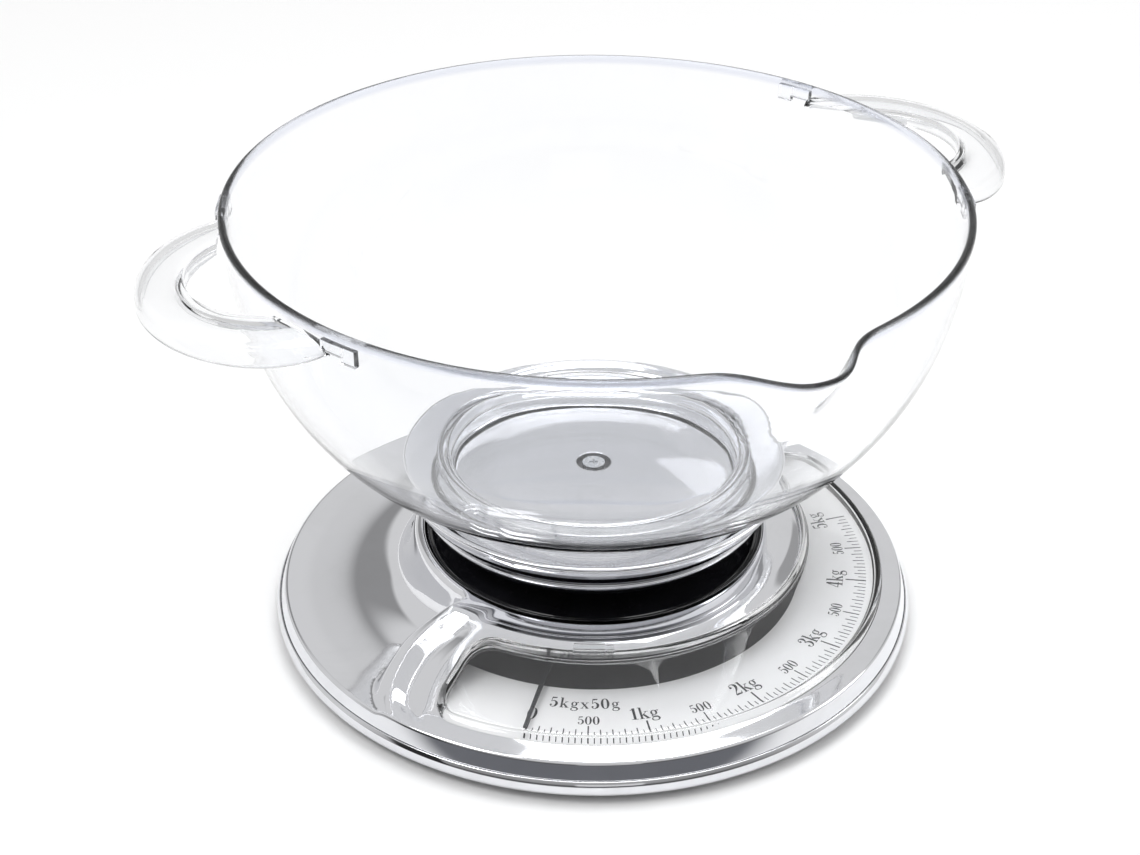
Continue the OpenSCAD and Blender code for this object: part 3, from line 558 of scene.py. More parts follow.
def cover_normal(x, y):
    h = 0.05
    dx = (cover_height(x + h, y) - cover_height(x - h, y)) / (2 * h)
    dy = (cover_height(x, y + h) - cover_height(x, y - h)) / (2 * h)
    n = np.stack([-dx, -dy, np.ones_like(dx)], -1)
    return n / np.linalg.norm(n, axis=-1, keepdims=True)


def span(length, r):
    return math.degrees(length / r)


def crescent(r_in, r_out, half, corner_in, corner_out, arc=150, corner=14, end=6):
    """Closed outline of the window's crescent, counter-clockwise from its outer arc."""
    ci, co = r_in + corner_in, r_out - corner_out
    ai, ao = half - span(corner_in, ci), half - span(corner_out, co)
    out = [(r_out * math.cos(math.radians(MID_AZIMUTH + a)), r_out * math.sin(math.radians(MID_AZIMUTH + a)))
           for a in np.linspace(-ao, ao, arc)]

    def bend(side, r, a, radius, first):
        middle = MID_AZIMUTH + side * a
        c = np.array([math.cos(math.radians(middle)), math.sin(math.radians(middle))]) * r
        for k in range(1, corner + 1):
            t = math.radians(middle + first + 90 * k / corner)
            out.append(tuple(c + radius * np.array([math.cos(t), math.sin(t)])))

    def bridge(radius_to, angle):
        t = math.radians(MID_AZIMUTH + angle)
        a, b = np.array(out[-1]), np.array([math.cos(t), math.sin(t)]) * radius_to
        for k in range(1, end + 1):
            out.append(tuple(a + (b - a) * k / end))

    bend(1, co, ao, corner_out, 0)
    bridge(ci, half)
    bend(1, ci, ai, corner_in, 90)
    out += [(r_in * math.cos(math.radians(MID_AZIMUTH + a)), r_in * math.sin(math.radians(MID_AZIMUTH + a)))
            for a in np.linspace(ai, -ai, arc)][1:]
    bend(-1, ci, ai, corner_in, 180)
    bridge(co, -half)
    bend(-1, co, ao, corner_out, 270)
    return np.array(out)[:-1]


def inside_outline(points, outline):
    x, y = points[:, 0], points[:, 1]
    inside = np.zeros(len(points), bool)
    for a, b in zip(outline, np.roll(outline, -1, axis=0)):
        crosses = (a[1] > y) != (b[1] > y)
        with np.errstate(divide="ignore", invalid="ignore"):
            inside ^= crosses & (x < (b[0] - a[0]) * (y - a[1]) / (b[1] - a[1]) + a[0])
    return inside


def make_cover():
    """The chrome cover: dished deck, swept hood with the window's opening, lip and edge, as one closed shell."""
    a = azimuths([(MID_AZIMUTH - 88, 15), (MID_AZIMUTH + 88, 15)], 0.6, 1.5)
    rows = np.concatenate([np.arange(TOP_IN, 70, 0.45), np.arange(70, 79, 0.8), np.arange(79, 104, 1.3),
                           np.arange(104, 113, 0.85), [TOP_OUT]])
    rr, aa = np.meshgrid(rows, np.radians(a), indexing="ij")
    cloud = np.column_stack([(rr * np.cos(aa)).ravel(), (rr * np.sin(aa)).ravel()])
    rim = np.isin(rr.ravel(), [rows[0], rows[-1]])
    hole = crescent(WINDOW_IN - 0.15, WINDOW_OUT + 0.15, WINDOW_HALF + 0.1,
                    WINDOW_CORNER_IN, WINDOW_CORNER_OUT, arc=220)
    near = np.full(len(cloud), False)
    for c in hole:
        near |= (cloud[:, 0] - c[0]) ** 2 + (cloud[:, 1] - c[1]) ** 2 < 0.22
    cloud = cloud[(~near & ~inside_outline(cloud, hole)) | rim]
    points = np.vstack([cloud, hole])
    n, m = len(cloud), len(hole)
    ring = [(n + i, n + (i + 1) % m) for i in range(m)]
    flat, _, tris, *_ = delaunay_2d_cdt([Vector(p) for p in points.tolist()], ring, [], 0, 1e-7)
    flat = np.array([tuple(p) for p in flat])
    tris = np.array([t for t in tris if len(t) == 3])
    middle = flat[tris].mean(axis=1)
    r = np.hypot(middle[:, 0], middle[:, 1])
    tris = tris[(r > TOP_IN - 0.004) & (r < TOP_OUT) & ~inside_outline(middle, hole)]
    area = np.cross(flat[tris[:, 1]] - flat[tris[:, 0]], flat[tris[:, 2]] - flat[tris[:, 0]])
    tris[area < 0] = tris[area < 0][:, ::-1]
    height = cover_height(flat[:, 0], flat[:, 1])
    verts = [np.column_stack([flat, height])]
    normals = [cover_normal(flat[:, 0], flat[:, 1])]
    faces = [tuple(t) for t in tris]

    def strip(rows_of, close=True):
        """Adds rows of (points, normals) joined by quads."""
        base = sum(len(v) for v in verts)
        for p, q in rows_of:
            verts.append(p)
            normals.append(q)
        faces.extend(tuple(base + i for i in f) for f in grid_faces(len(rows_of), len(rows_of[0][0])))

    ar = np.radians(a)
    c, s = np.cos(ar), np.sin(ar)
    edge_z = cover_height(TOP_OUT * c, TOP_OUT * s)
    outer = []
    for t in np.radians([90, 76, 62, 48, 34, WALL_LEAN]):
        rad = TOP_OUT + EDGE_ROUND * math.cos(t)
        outer.append((np.column_stack([rad * c, rad * s, edge_z - EDGE_ROUND * (1 - math.sin(t))]),
                      np.column_stack([math.cos(t) * c, math.cos(t) * s, np.full_like(c, math.sin(t))])))
    side = np.column_stack([c, s, 0 * c])
    lean = math.radians(WALL_LEAN)
    leaning = np.column_stack([math.cos(lean) * c, math.cos(lean) * s, np.full_like(c, math.sin(lean))])
    outer.append((np.column_stack([(COVER_R - 0.15) * c, (COVER_R - 0.15) * s, np.full_like(c, 9.1)]), leaning))
    outer += [(np.column_stack([COVER_R * c, COVER_R * s, np.full_like(c, z)]), side) for z in (8.7, COVER_FOOT)]
    outer.append((np.column_stack([(COVER_R - 1.3) * c, (COVER_R - 1.3) * s, np.full_like(c, COVER_FOOT)]), -side))
    outer.append((np.column_stack([(COVER_R - 1.4) * c, (COVER_R - 1.4) * s, edge_z - EDGE_ROUND - 0.8]), -side))
    strip(outer[::-1])
    lip = []
    lip_z = cover_height(TOP_IN * c, TOP_IN * s)
    for t in np.radians([90, 70, 50, 30, 10, 0]):
        rad = TOP_IN - (TOP_IN - WELL_R) * math.cos(t)
        lip.append((np.column_stack([rad * c, rad * s, lip_z - 1.2 * (1 - math.sin(t))]),
                    np.column_stack([-math.cos(t) * c, -math.cos(t) * s, np.full_like(c, math.sin(t))])))
    lip.append((np.column_stack([WELL_R * c, WELL_R * s, lip_z - 2.4]), -side))
    lip.append((np.column_stack([(WELL_R + 1.2) * c, (WELL_R + 1.2) * s, lip_z - 2.5]), side))
    strip(lip)
    # the underside of the top, one wall down, and the walls of the opening
    wall = 1.2
    base = sum(len(v) for v in verts)
    under = verts[0] - normals[0] * wall
    verts.append(under)
    normals.append(-normals[0])
    faces.extend(tuple(base + i for i in t[::-1]) for t in tris)
    base = sum(len(v) for v in verts)
    hr = np.column_stack([hole, cover_height(hole[:, 0], hole[:, 1])])
    hn = cover_normal(hole[:, 0], hole[:, 1])
    out = np.roll(hole, -1, axis=0) - np.roll(hole, 1, axis=0)
    out /= np.linalg.norm(out, axis=1)[:, None]
    inward = np.column_stack([-out[:, 1], out[:, 0], 0 * out[:, 0]])
    verts += [hr, hr - hn * wall]
    normals += [inward, inward]
    faces.extend((base + i, base + (i + 1) % m, base + m + (i + 1) % m, base + m + i) for i in range(m))
    return new_piece("cover_chrome", np.vstack(verts), faces, "base", CHROME, ["top_cover"],
                     np.vstack(normals))


make_cover()
turned("edge_roll", rounded([(114.42, 2.82), (117.0, 2.8), (BASE_R, 4.2), (BASE_R, 7.3), (117.0, 8.75), (116.6, 8.78),
                             (116.6, 5.95), (114.42, 5.95)],
                            [0.3, 2.2, 2.4, 2.4, 1.4, 0.15, 0.2, 0.3]), "base", CHROME, ["rim_roll"])
turned("well_collar_gloss", rounded([(61.4, 32.8), (60.6, 32.7), (59.6, 31.6), (58.0, 31.1), (53.4, 30.93),
                                     (15.2, 30.93), (15.2, 29.45), (54.0, 29.45), (58.6, 29.6), (60.4, 30.2),
                                     (61.4, 31.4)], 0.4), "base", BLACK_GLOSS, ["well_collar"])


# ---------------------------------------------------------------- window

def slope_z(r):
    return HOOD_LOW + (WINDOW_OUT - r) * HOOD_SLOPE


def make_window():
    """The clear window: flange under the cover, standing wall, rounded bead and sloping plate, hollow below."""
    def loop(inset, height):
        o = crescent(WINDOW_IN + inset, WINDOW_OUT - inset, WINDOW_HALF - span(inset, WINDOW_IN + 3),
                     WINDOW_CORNER_IN - inset, WINDOW_CORNER_OUT - inset, arc=120, corner=10, end=5)
        return np.column_stack([o, slope_z(np.hypot(o[:, 0], o[:, 1])) + height])

    outer = [(-1.9, -3.1), (-2.0, -3.0), (-2.0, -2.45), (-1.9, -2.35), (0, -2.3), (0, 0.9), (0.08, 1.3), (0.3, 1.66),
             (0.62, 1.9), (1.0, 2.0), (1.4, 1.95), (1.75, 1.75), (2.05, 1.4), (2.3, 1.08), (2.65, 0.86), (3.1, 0.76),
             (3.8, 0.74)]
    inner = [(-1.9, -3.1), (1.4, -3.1), (1.55, -3.0), (1.6, -2.8), (1.6, -1.4), (1.7, -1.05), (2.0, -0.78),
             (2.4, -0.7), (3.8, -0.68)]
    verts, faces = [], []

    def skin(levels, flip):
        rows = [loop(*l) for l in levels]
        edge = rows[-1]
        r, az = np.hypot(edge[:, 0], edge[:, 1]), np.degrees(np.arctan2(edge[:, 1], edge[:, 0]))
        middle_r = (WINDOW_IN + WINDOW_OUT) / 2
        limit = WINDOW_HALF - span((WINDOW_OUT - WINDOW_IN) / 2, middle_r)
        off = np.clip((az - MID_AZIMUTH + 180) % 360 - 180, -limit, limit)
        arc = 120
        back = np.arange(arc) + arc + 2 * 10 + 5 - 1
        pair = (off[:arc] + off[back][::-1]) / 2
        off[:arc], off[back] = pair, pair[::-1]
        for share in (0.25, 0.5, 0.75, 1.0):
            rm = r + (middle_r - r) * share
            am = np.radians(az + (MID_AZIMUTH + off - az + 180) % 360 * share - 180 * share)
            rows.append(np.column_stack([rm * np.cos(am), rm * np.sin(am), slope_z(rm) + levels[-1][1]]))
        base = sum(len(v) for v in verts)
        verts.extend(rows)
        faces.extend(tuple(base + i for i in f) for f in grid_faces(len(rows), len(edge), flip=flip))

    skin(outer, False)
    skin(inner, True)
    v, f, _ = welded(np.vstack(verts), faces)
    return new_piece("window_clear", v, f, "base", WINDOW_CLEAR, ["window"], sharp=50)


make_window()


def make_gate_block():
    """The moulding's small gate block on the window's inner edge, with its stepped end."""
    verts, faces = [], []
    for start, stop, inset in ((-94.6, -86.6, 0.0), (-86.3, -84.4, 0.35)):
        a = np.radians(np.linspace(start, stop, 14))
        section = rounded([(75.0 + inset, 0.35), (79.2 - inset, 0.35), (79.2 - inset, 1.95 - inset),
                           (75.0 + inset, 1.95 - inset)], 0.35)
        base = len(verts)
        for r, h in section:
            for t in a:
                verts.append((r * math.cos(t), r * math.sin(t), slope_z(75.0) + h))
        n = len(a)
        skin = grid_faces(len(section), n, close_rows=True, close_columns=False)
        faces += [tuple(base + i for i in f) for f in skin]
        faces.append(tuple(base + i * n for i in range(len(section))))
        faces.append(tuple(base + i * n + n - 1 for i in range(len(section)))[::-1])
    return new_piece("window_gate", verts, faces, "base", WINDOW_CLEAR, sharp=60)


make_gate_block()


# ---------------------------------------------------------------- platform

skirt_line = thinned(softened([(58.0, 41.25), (58.6, 41.9), (60.3, 43.2), (62.3, 45.5), (63.5, 47.6),
                               (64.25, 49.5)], 0.25), 3)
turned("platform_skirt_chrome", wall_of(skirt_line, 1.4), "load", CHROME, ["platform_skirt"])
dish_line = thinned(softened([(64.25, 49.8), (65.6, 51.9), (67.7, 54.6), (69.3, 57.2), (70.2, 59.0), (70.45, 59.9),
                              (69.9, 60.55), (68.9, 60.6), (67.4, 60.2), (62.5, 58.8), (59.4, 57.9), (57.6, 57.25),
                              (55.8, 57.0), (50, 57.0), (30, 57.0), (6.2, 57.0)], 0.22), 3, 4)
turned("platform_dish_chrome", wall_of(dish_line, 1.3), "load", CHROME, ["platform_pan"])


# ---------------------------------------------------------------- bowl

def bowl_z(r):
    """Height of the bowl's outside at a radius."""
    return RIM_Z - BOWL_DEPTH * (1 - min(r / BOWL_R, 1) ** 3.1) ** (1 / 1.95)


SPOUT_AZIMUTH = -62.0


def pouring_lip(azimuth, z):
    """How far the pouring lip pushes the bowl's wall outwards."""
    f = np.clip((z - (RIM_Z - 29)) / 29, 0, 1)
    off = np.abs((azimuth - SPOUT_AZIMUTH + 180) % 360 - 180)
    return 16.2 * f ** 1.35 * np.exp(-(off / (7.7 * (0.5 + 0.5 * f))) ** 2.5)


def make_bowl():
    """The clear bowl: foot ring, round side, rim bead and pouring lip as one closed wall."""
    start_r = FOOT_R + 1.2
    side = [(r, bowl_z(r)) for r in start_r + (BOWL_R - start_r) * np.sin(np.linspace(0, np.pi / 2, 40)[:-3])]
    outside = softened([(8, 64.4), (30, 64.4), (50, 64.4), (52.6, 64.35), (53.4, 63.5), (53.6, 61.0),
                        (53.6, 57.8)], 0.25)
    foot = rounded([(53.6, 59), (53.6, 57.0), (FOOT_R, 57.0), (FOOT_R, 59)], [0, 0.7, 0.7, 0])[3:-3]
    wall = softened([(FOOT_R, 58.4), (FOOT_R, 61.5), (55.8, 63.6), *side, (BOWL_R + 0.1, RIM_Z - 3.2),
                     (BOWL_R + 0.38, RIM_Z - 2.3), (BOWL_R + 0.38, RIM_Z - 1.2)], 0.3)
    rim = [(BOWL_R - 0.92 + 1.3 * math.cos(t), RIM_Z - 1.3 + 1.3 * math.sin(t)) for t in np.linspace(0, np.pi, 14)]
    inside = [(r - 2.3 * (1 - abs(z - RIM_Z) / 400) * min(1, (RIM_Z - z) / 30 + 0.96),
               z + BOWL_WALL * (1 - ((z - 60) / BOWL_DEPTH)) ** 1.5) for r, z in side[::-1]]
    inner = softened([(BOWL_R - 2.25, RIM_Z - 1.4), (BOWL_R - 2.3, RIM_Z - 3), *inside, (54.0, 67.15), (49, 66.85),
                      (30, 66.8), (8, 66.8)], 0.5)
    profile = np.vstack([thinned(outside, 7, 8), foot[1:-1], thinned(wall, 3, 3), rim[1:-1], thinned(inner, 3, 3.5)])
    a = azimuths([(SPOUT_AZIMUTH, 22)], 0.6, 1.5)
    ar = np.radians(a)
    r = np.repeat(profile[:, :1], len(a), 1)
    z = np.repeat(profile[:, 1:], len(a), 1)
    r = r + pouring_lip(a[None, :], z)
    verts = np.stack([r * np.cos(ar), r * np.sin(ar), z], -1).reshape(-1, 3)
    faces = grid_faces(len(profile), len(a))
    n = len(a)
    low, high = len(verts), len(verts) + 1
    verts = np.vstack([verts, [0, 0, profile[0][1]], [0, 0, profile[-1][1]]])
    last = (len(profile) - 1) * n
    faces += [(low, (i + 1) % n, i) for i in range(n)]
    faces += [(high, last + i, last + (i + 1) % n) for i in range(n)]
    return new_piece("bowl_clear", verts, faces, "bowl", BOWL_CLEAR, ["bowl"])


def make_handle(azimuth, name):
    """One loop handle: an upturned channel swept round the finger hole, with the two hooks at its roots."""
    steps = 90
    top = RIM_Z - HANDLE_DROP
    out_a, out_b, in_a, in_b, cx = 46.0, 49.0, 30.5, 29.4, 112.0
    u = np.linspace(-1, 1, steps)
    to = np.radians(86.2 * u)
    ti = np.radians(65.5 * u)
    outer = np.column_stack([cx + out_a * np.cos(to), out_b * np.sin(to)])
    inner = np.column_stack([cx + in_a * np.cos(ti), in_b * np.sin(ti)])
    turn = math.radians(azimuth)
    verts, rows = [], None
    for i in range(steps):
        d = outer[i] - inner[i]
        w = np.linalg.norm(d)
        d /= w
        deep = 8.6 - 3.4 * abs(u[i]) ** 6
        small = 5.4 - 1.6 * abs(u[i]) ** 4
        dome = 1.3
        section = [(0.0, -small), (0.0, -0.9), (0.25, -0.3), (0.9, 0.0), (w * 0.3, 0.05), (w * 0.55, -0.15),
                   (w - 4.2, -dome * 0.55), (w - 2.6, -dome), (w - 1.3, -dome - 0.9), (w - 0.35, -dome - 2.4),
                   (w, -dome - 4.2), (w, -deep + 0.6), (w - 0.25, -deep + 0.15), (w - 0.8, -deep),
                   (w - 1.7, -deep), (w - 2.2, -deep + 0.3), (w - 2.3, -deep + 0.9), (w - 2.5, -dome - 4.3),
                   (w - 3.3, -dome - 3.0), (w - 4.8, -dome - 2.1), (w * 0.55, -2.5), (3.3, -2.45), (2.5, -2.9),
                   (2.2, -3.5), (2.1, -small), (1.7, -small - 0.35), (0.5, -small - 0.35)]
        for q, h in section:
            x, y = inner[i] + d * q
            verts.append((x * math.cos(turn) - y * math.sin(turn), x * math.sin(turn) + y * math.cos(turn), top + h))
        rows = len(section)
    faces = [tuple(f) for f in grid_faces(steps, rows, close_rows=False, close_columns=True, flip=True)]
    faces.append(tuple(range(rows)))
    faces.append(tuple((steps - 1) * rows + k for k in range(rows))[::-1])
    # hooks: small stepped blocks under the rim beside each root
    for side in (-1, 1):
        for start, stop, drop in ((22.3, 26.0, 2.6), (26.0, 28.4, 4.4)):
            base = len(verts)
            for angle in np.radians(azimuth + side * np.linspace(start, stop, 6)):
                block = [(BOWL_R - 0.6, 1.4), (BOWL_R - 0.6, -drop), (BOWL_R + 1.7, -drop), (BOWL_R + 1.7, 1.4)]
                for r, h in rounded(block, 0.4):
                    verts.append((r * math.cos(angle), r * math.sin(angle), top - 0.6 + h))
            k = (len(verts) - base) // 6
            faces += [tuple(base + i for i in f) for f in grid_faces(6, k, flip=side < 0)]
            caps = [tuple(base + i for i in range(k)), tuple(base + 5 * k + i for i in range(k))[::-1]]
            faces += caps if side < 0 else [c[::-1] for c in caps]
    piece = new_piece(name, verts, faces, "bowl", BOWL_CLEAR, sharp=50)
    recalculated(piece)
    return piece


def recalculated(piece):
    """All faces of a closed piece turned outwards."""
    bm = bmesh.new()
    bm.from_mesh(piece.data)
    bmesh.ops.recalc_face_normals(bm, faces=bm.faces)
    bm.to_mesh(piece.data)
    bm.free()


make_bowl()
make_handle(BOWL_TURN, "handle_right")
make_handle(BOWL_TURN + 180, "handle_left")


# ---------------------------------------------------------------- printed dial

# Each glyph is strokes of (x, y, width) on a letter 1 high; a single point is a ball
GLYPHS = {
    "0": (0.58, [[(.29, .985, .05), (.43, .88, .11), (.49, .5, .17), (.43, .12, .11), (.29, .015, .05),
                  (.15, .12, .11), (.09, .5, .17), (.15, .88, .11), (.29, .985, .05)]]),
    "1": (0.46, [[(.26, .98, .15), (.26, .02, .15)], [(.06, .02, .045), (.46, .02, .045)],
                 [(.24, .95, .05), (.17, .86, .05), (.07, .82, .045)]]),
    "2": (0.56, [[(.13, .75, .16)], [(.08, .78, .045), (.14, .93, .05), (.29, .985, .06), (.43, .88, .14),
                 (.46, .72, .16), (.38, .52, .12), (.22, .30, .06), (.09, .07, .05)],
                 [(.08, .07, .13), (.30, .08, .13), (.47, .06, .11)], [(.47, .05, .06), (.53, .25, .045)]]),
    "3": (0.56, [[(.14, .79, .15)], [(.09, .83, .04), (.17, .96, .05), (.30, .98, .06), (.42, .87, .14),
                 (.43, .74, .15), (.36, .60, .08), (.24, .535, .045)],
                 [(.24, .535, .045), (.38, .48, .09), (.48, .34, .16), (.47, .19, .15), (.36, .05, .08),
                  (.24, .015, .05), (.12, .07, .04), (.09, .17, .04)], [(.14, .20, .15)]]),
    "4": (0.60, [[(.40, .98, .15), (.40, .02, .15)], [(.23, .02, .045), (.56, .02, .045)],
                 [(.38, .97, .05), (.04, .28, .045)], [(.03, .27, .055), (.58, .27, .055)]]),
    "5": (0.56, [[(.15, .92, .13), (.30, .93, .12), (.45, .95, .10)], [(.15, .95, .045), (.12, .52, .045)],
                 [(.12, .52, .045), (.22, .60, .05), (.33, .60, .09), (.45, .48, .15), (.48, .31, .17),
                  (.42, .12, .13), (.28, .015, .06), (.14, .05, .045), (.08, .17, .04)], [(.13, .19, .15)]]),
    "k": (0.62, [[(.16, .99, .13), (.16, .02, .13)], [(.03, .975, .045), (.16, .975, .045)],
                 [(.02, .02, .045), (.30, .02, .045)], [(.48, .60, .045), (.20, .28, .045)],
                 [(.36, .61, .04), (.58, .61, .04)], [(.29, .36, .13), (.53, .03, .13)],
                 [(.38, .02, .045), (.64, .02, .045)]]),
    "g": (0.56, [[(.25, .63, .045), (.37, .55, .10), (.39, .43, .11), (.36, .31, .09), (.25, .24, .045),
                  (.14, .31, .09), (.11, .43, .11), (.14, .55, .09), (.25, .63, .045)],
                 [(.37, .56, .04), (.46, .62, .045)], [(.50, .60, .09)],
                 [(.16, .28, .04), (.10, .18, .06), (.20, .10, .12), (.38, .07, .12), (.47, -.06, .11),
                  (.40, -.20, .07), (.26, -.24, .045), (.10, -.20, .07), (.06, -.08, .08), (.14, .04, .045)]]),
    "x": (0.54, [[(.09, .59, .13), (.45, .03, .13)], [(.43, .59, .045), (.08, .03, .045)],
                 [(.00, .605, .04), (.22, .605, .04)], [(.33, .605, .04), (.54, .605, .04)],
                 [(.00, .02, .04), (.19, .02, .04)], [(.32, .02, .04), (.55, .02, .04)]]),
}


def stroke_shape(stroke):
    """Flat outline faces of one stroke: a strip along a flowing line, or a ball."""
    s = np.array(stroke, float)
    if len(s) == 1:
        t = np.radians(np.arange(0, 360, 20))
        ring = s[0, :2] + s[0, 2] / 2 * np.column_stack([np.cos(t), np.sin(t)])
        return ring, [tuple(range(len(ring)))]
    closed = len(s) > 2 and np.allclose(s[0], s[-1])
    if len(s) > 2:
        ends = np.vstack([s[-2] if closed else 2 * s[0] - s[1], s, s[1] if closed else 2 * s[-1] - s[-2]])
        line = []
        for a, b, c, d in zip(ends[:-3], ends[1:-2], ends[2:-1], ends[3:]):
            for t in np.linspace(0, 1, 7, endpoint=False):
                line.append(0.5 * (2 * b + (c - a) * t + (2 * a - 5 * b + 4 * c - d) * t * t
                                   + (3 * b - a - 3 * c + d) * t**3))
        s = np.array(line + [s[-1]])
    d = np.gradient(s[:, :2], axis=0)
    if closed:
        d[0] = d[-1] = s[1, :2] - s[-2, :2]
    d /= np.linalg.norm(d, axis=1)[:, None]
    side = np.column_stack([-d[:, 1], d[:, 0]]) * s[:, 2:3] / 2
    pts = np.vstack([s[:, :2] + side, s[:, :2] - side])
    n = len(s)
    return pts, [(i, n + i, n + i + 1, i + 1) for i in range(n - 1)]


def printed_words():
    """The dial's numbers, laid on the dial with their feet towards the rim."""
    verts, faces = [], []
    layers = itertools.count(1)

    def write(text, azimuth, foot_r, size, gap=0.08):
        width = sum(GLYPHS[ch][0] for ch in text) + gap * (len(text) - 1)
        along = -width / 2
        for ch in text:
            w, strokes = GLYPHS[ch]
            a = math.radians(azimuth) + (along + w / 2) * size / (foot_r - size / 2)
            for stroke in strokes:
                height = DIAL_TOP + 0.02 + 0.0006 * (next(layers) % 12)     # strokes that cross don't coincide
                pts, fs = stroke_shape(stroke)
                base = len(verts)
                for px, py in pts:
                    t, r = (px - w / 2) * size, foot_r - py * size
                    verts.append((r * math.cos(a) - t * math.sin(a), r * math.sin(a) + t * math.cos(a), height))
                faces.extend(tuple(base + i for i in f) for f in fs)
            along += w + gap

    degree = SWEEP / 5
    write("0", ZERO_AZIMUTH, 94.2, 5.9)
    for kilo in range(1, 6):
        write(f"{kilo}kg", ZERO_AZIMUTH + degree * kilo, 93.0, 6.0, 0.02)
    for kilo in range(5):
        write("500", ZERO_AZIMUTH + degree * (kilo + 0.5), 94.6, 4.1, 0.06)
    write("5kgx50g", ZERO_AZIMUTH + 11.0, 86.4, 5.2, 0.1)
    piece = new_piece("dial_numbers", verts, faces, "base", INK)
    bm = bmesh.new()
    bm.from_mesh(piece.data)
    bmesh.ops.reverse_faces(bm, faces=[f for f in bm.faces if f.normal.z < 0])
    bm.to_mesh(piece.data)
    bm.free()


printed_words()


# ---------------------------------------------------------------- repeated parts, by Geometry Nodes

class Tree:
    """A Geometry Nodes tree under construction, with named inputs."""

    def __init__(self, name, inputs):
        self.group = bpy.data.node_groups.new(name, "GeometryNodeTree")
        face = self.group.interface
        face.new_socket("Geometry", in_out="OUTPUT", socket_type="NodeSocketGeometry")
        for label, (kind, default) in inputs.items():
            s = face.new_socket(label, in_out="INPUT", socket_type="NodeSocket" + kind)
            if default is not None:
                s.default_value = default
        self.inlet = self.group.nodes.new("NodeGroupInput")

    def input(self, label):
        return Val(self.group, self.inlet.outputs[label])

    def node(self, kind, settings=None, values=None, out=0):
        n = self.group.nodes.new(kind)
        for key, value in (settings or {}).items():
            setattr(n, key, value)
        for key, value in (values or {}).items():
            if isinstance(value, Val):
                self.group.links.new(value.socket, n.inputs[key])
            else:
                n.inputs[key].default_value = value
        return Val(self.group, n.outputs[out])

    def end(self, shape):
        real = self.node("GeometryNodeRealizeInstances", values={"Geometry": shape})
        made = self.node("GeometryNodeSetMaterial", values={"Geometry": real, "Material": self.input("Finish")})
        outlet = self.group.nodes.new("NodeGroupOutput")
        self.group.links.new(made.socket, outlet.inputs[0])
        return self.group


def grown(name, tree, settings):
    """The mesh that a tree gives for each of several settings, joined as one mesh."""
    parts = []
    for values in settings:
        carrier = bpy.data.objects.new(name + "_carrier", bpy.data.meshes.new(name + "_carrier"))
        bpy.context.scene.collection.objects.link(carrier)
        modifier = carrier.modifiers.new("grow", "NODES")
        modifier.node_group = tree
        for item in tree.interface.items_tree:
            if item.in_out == "INPUT" and item.name in values:
                modifier[item.identifier] = values[item.name]
        graph = bpy.context.evaluated_depsgraph_get()
        mesh = bpy.data.meshes.new_from_object(carrier.evaluated_get(graph))
        flat = np.empty(len(mesh.vertices) * 3)
        mesh.vertices.foreach_get("co", flat)
        parts.append((flat.reshape(-1, 3) / MM, [tuple(p.vertices) for p in mesh.polygons]))
        bpy.data.objects.remove(carrier)
    verts, faces = [], []
    for v, f in parts:
        base = sum(len(x) for x in verts)
        verts.append(v)
        faces.extend(tuple(base + i for i in t) for t in f)
    return np.vstack(verts), faces


def spokes_tree():
    """Bars set out like spokes: how many, where the first points, the angle between two, and each bar's size."""
    t = Tree("spokes", {"Count": ("Int", 12), "First angle": ("Float", 0.0), "Step": ("Float", 0.1),
                        "Outer radius": ("Float", 0.1), "Length": ("Float", 0.01), "Width": ("Float", 0.001),
                        "Thickness": ("Float", 0.0001), "Height": ("Float", 0.0), "Finish": ("Material", None)})
    size = t.node("ShaderNodeCombineXYZ", values={"X": t.input("Length"), "Y": t.input("Width"),
                                                  "Z": t.input("Thickness")})
    bar = t.node("GeometryNodeMeshCube", values={"Size": size})
    points = t.node("GeometryNodePoints", values={"Count": t.input("Count")})
    angle = t.input("First angle") + t.node("GeometryNodeInputIndex") * t.input("Step")
    reach = t.input("Outer radius") - t.input("Length") * 0.5
    place = t.node("ShaderNodeCombineXYZ", values={"X": angle.cosine() * reach, "Y": angle.sine() * reach,
                                                   "Z": t.input("Height")})
    set_out = t.node("GeometryNodeSetPosition", values={"Geometry": points, "Position": place})
    turn = t.node("ShaderNodeCombineXYZ", values={"Z": angle})
    rotation = t.node("FunctionNodeEulerToRotation", values={0: turn})
    bars = t.node("GeometryNodeInstanceOnPoints", values={"Points": set_out, "Instance": bar, "Rotation": rotation})
    return t.end(bars)


def coil_tree():
    """A wire coil: how many turns, their radius, the coil's height and foot, and the wire."""
    t = Tree("coil", {"Turns": ("Float", 5.0), "Radius": ("Float", 0.01), "Height": ("Float", 0.02),
                      "Foot": ("Float", 0.0), "Wire": ("Float", 0.002), "Finish": ("Material", None)})
    path = t.node("GeometryNodeCurveSpiral", values={"Resolution": 40, "Rotations": t.input("Turns"),
                                                     "Start Radius": t.input("Radius"),
                                                     "End Radius": t.input("Radius"), "Height": t.input("Height")})
    ring = t.node("GeometryNodeCurvePrimitiveCircle", values={"Resolution": 14, "Radius": t.input("Wire") * 0.5})
    wire = t.node("GeometryNodeCurveToMesh", values={"Curve": path, "Profile Curve": ring, "Fill Caps": True})
    lift = t.node("ShaderNodeCombineXYZ", values={"Z": t.input("Foot")})
    moved = t.node("GeometryNodeTransform", values={"Geometry": wire, "Translation": lift})
    return t.end(moved)


SPOKES, COIL = spokes_tree(), coil_tree()


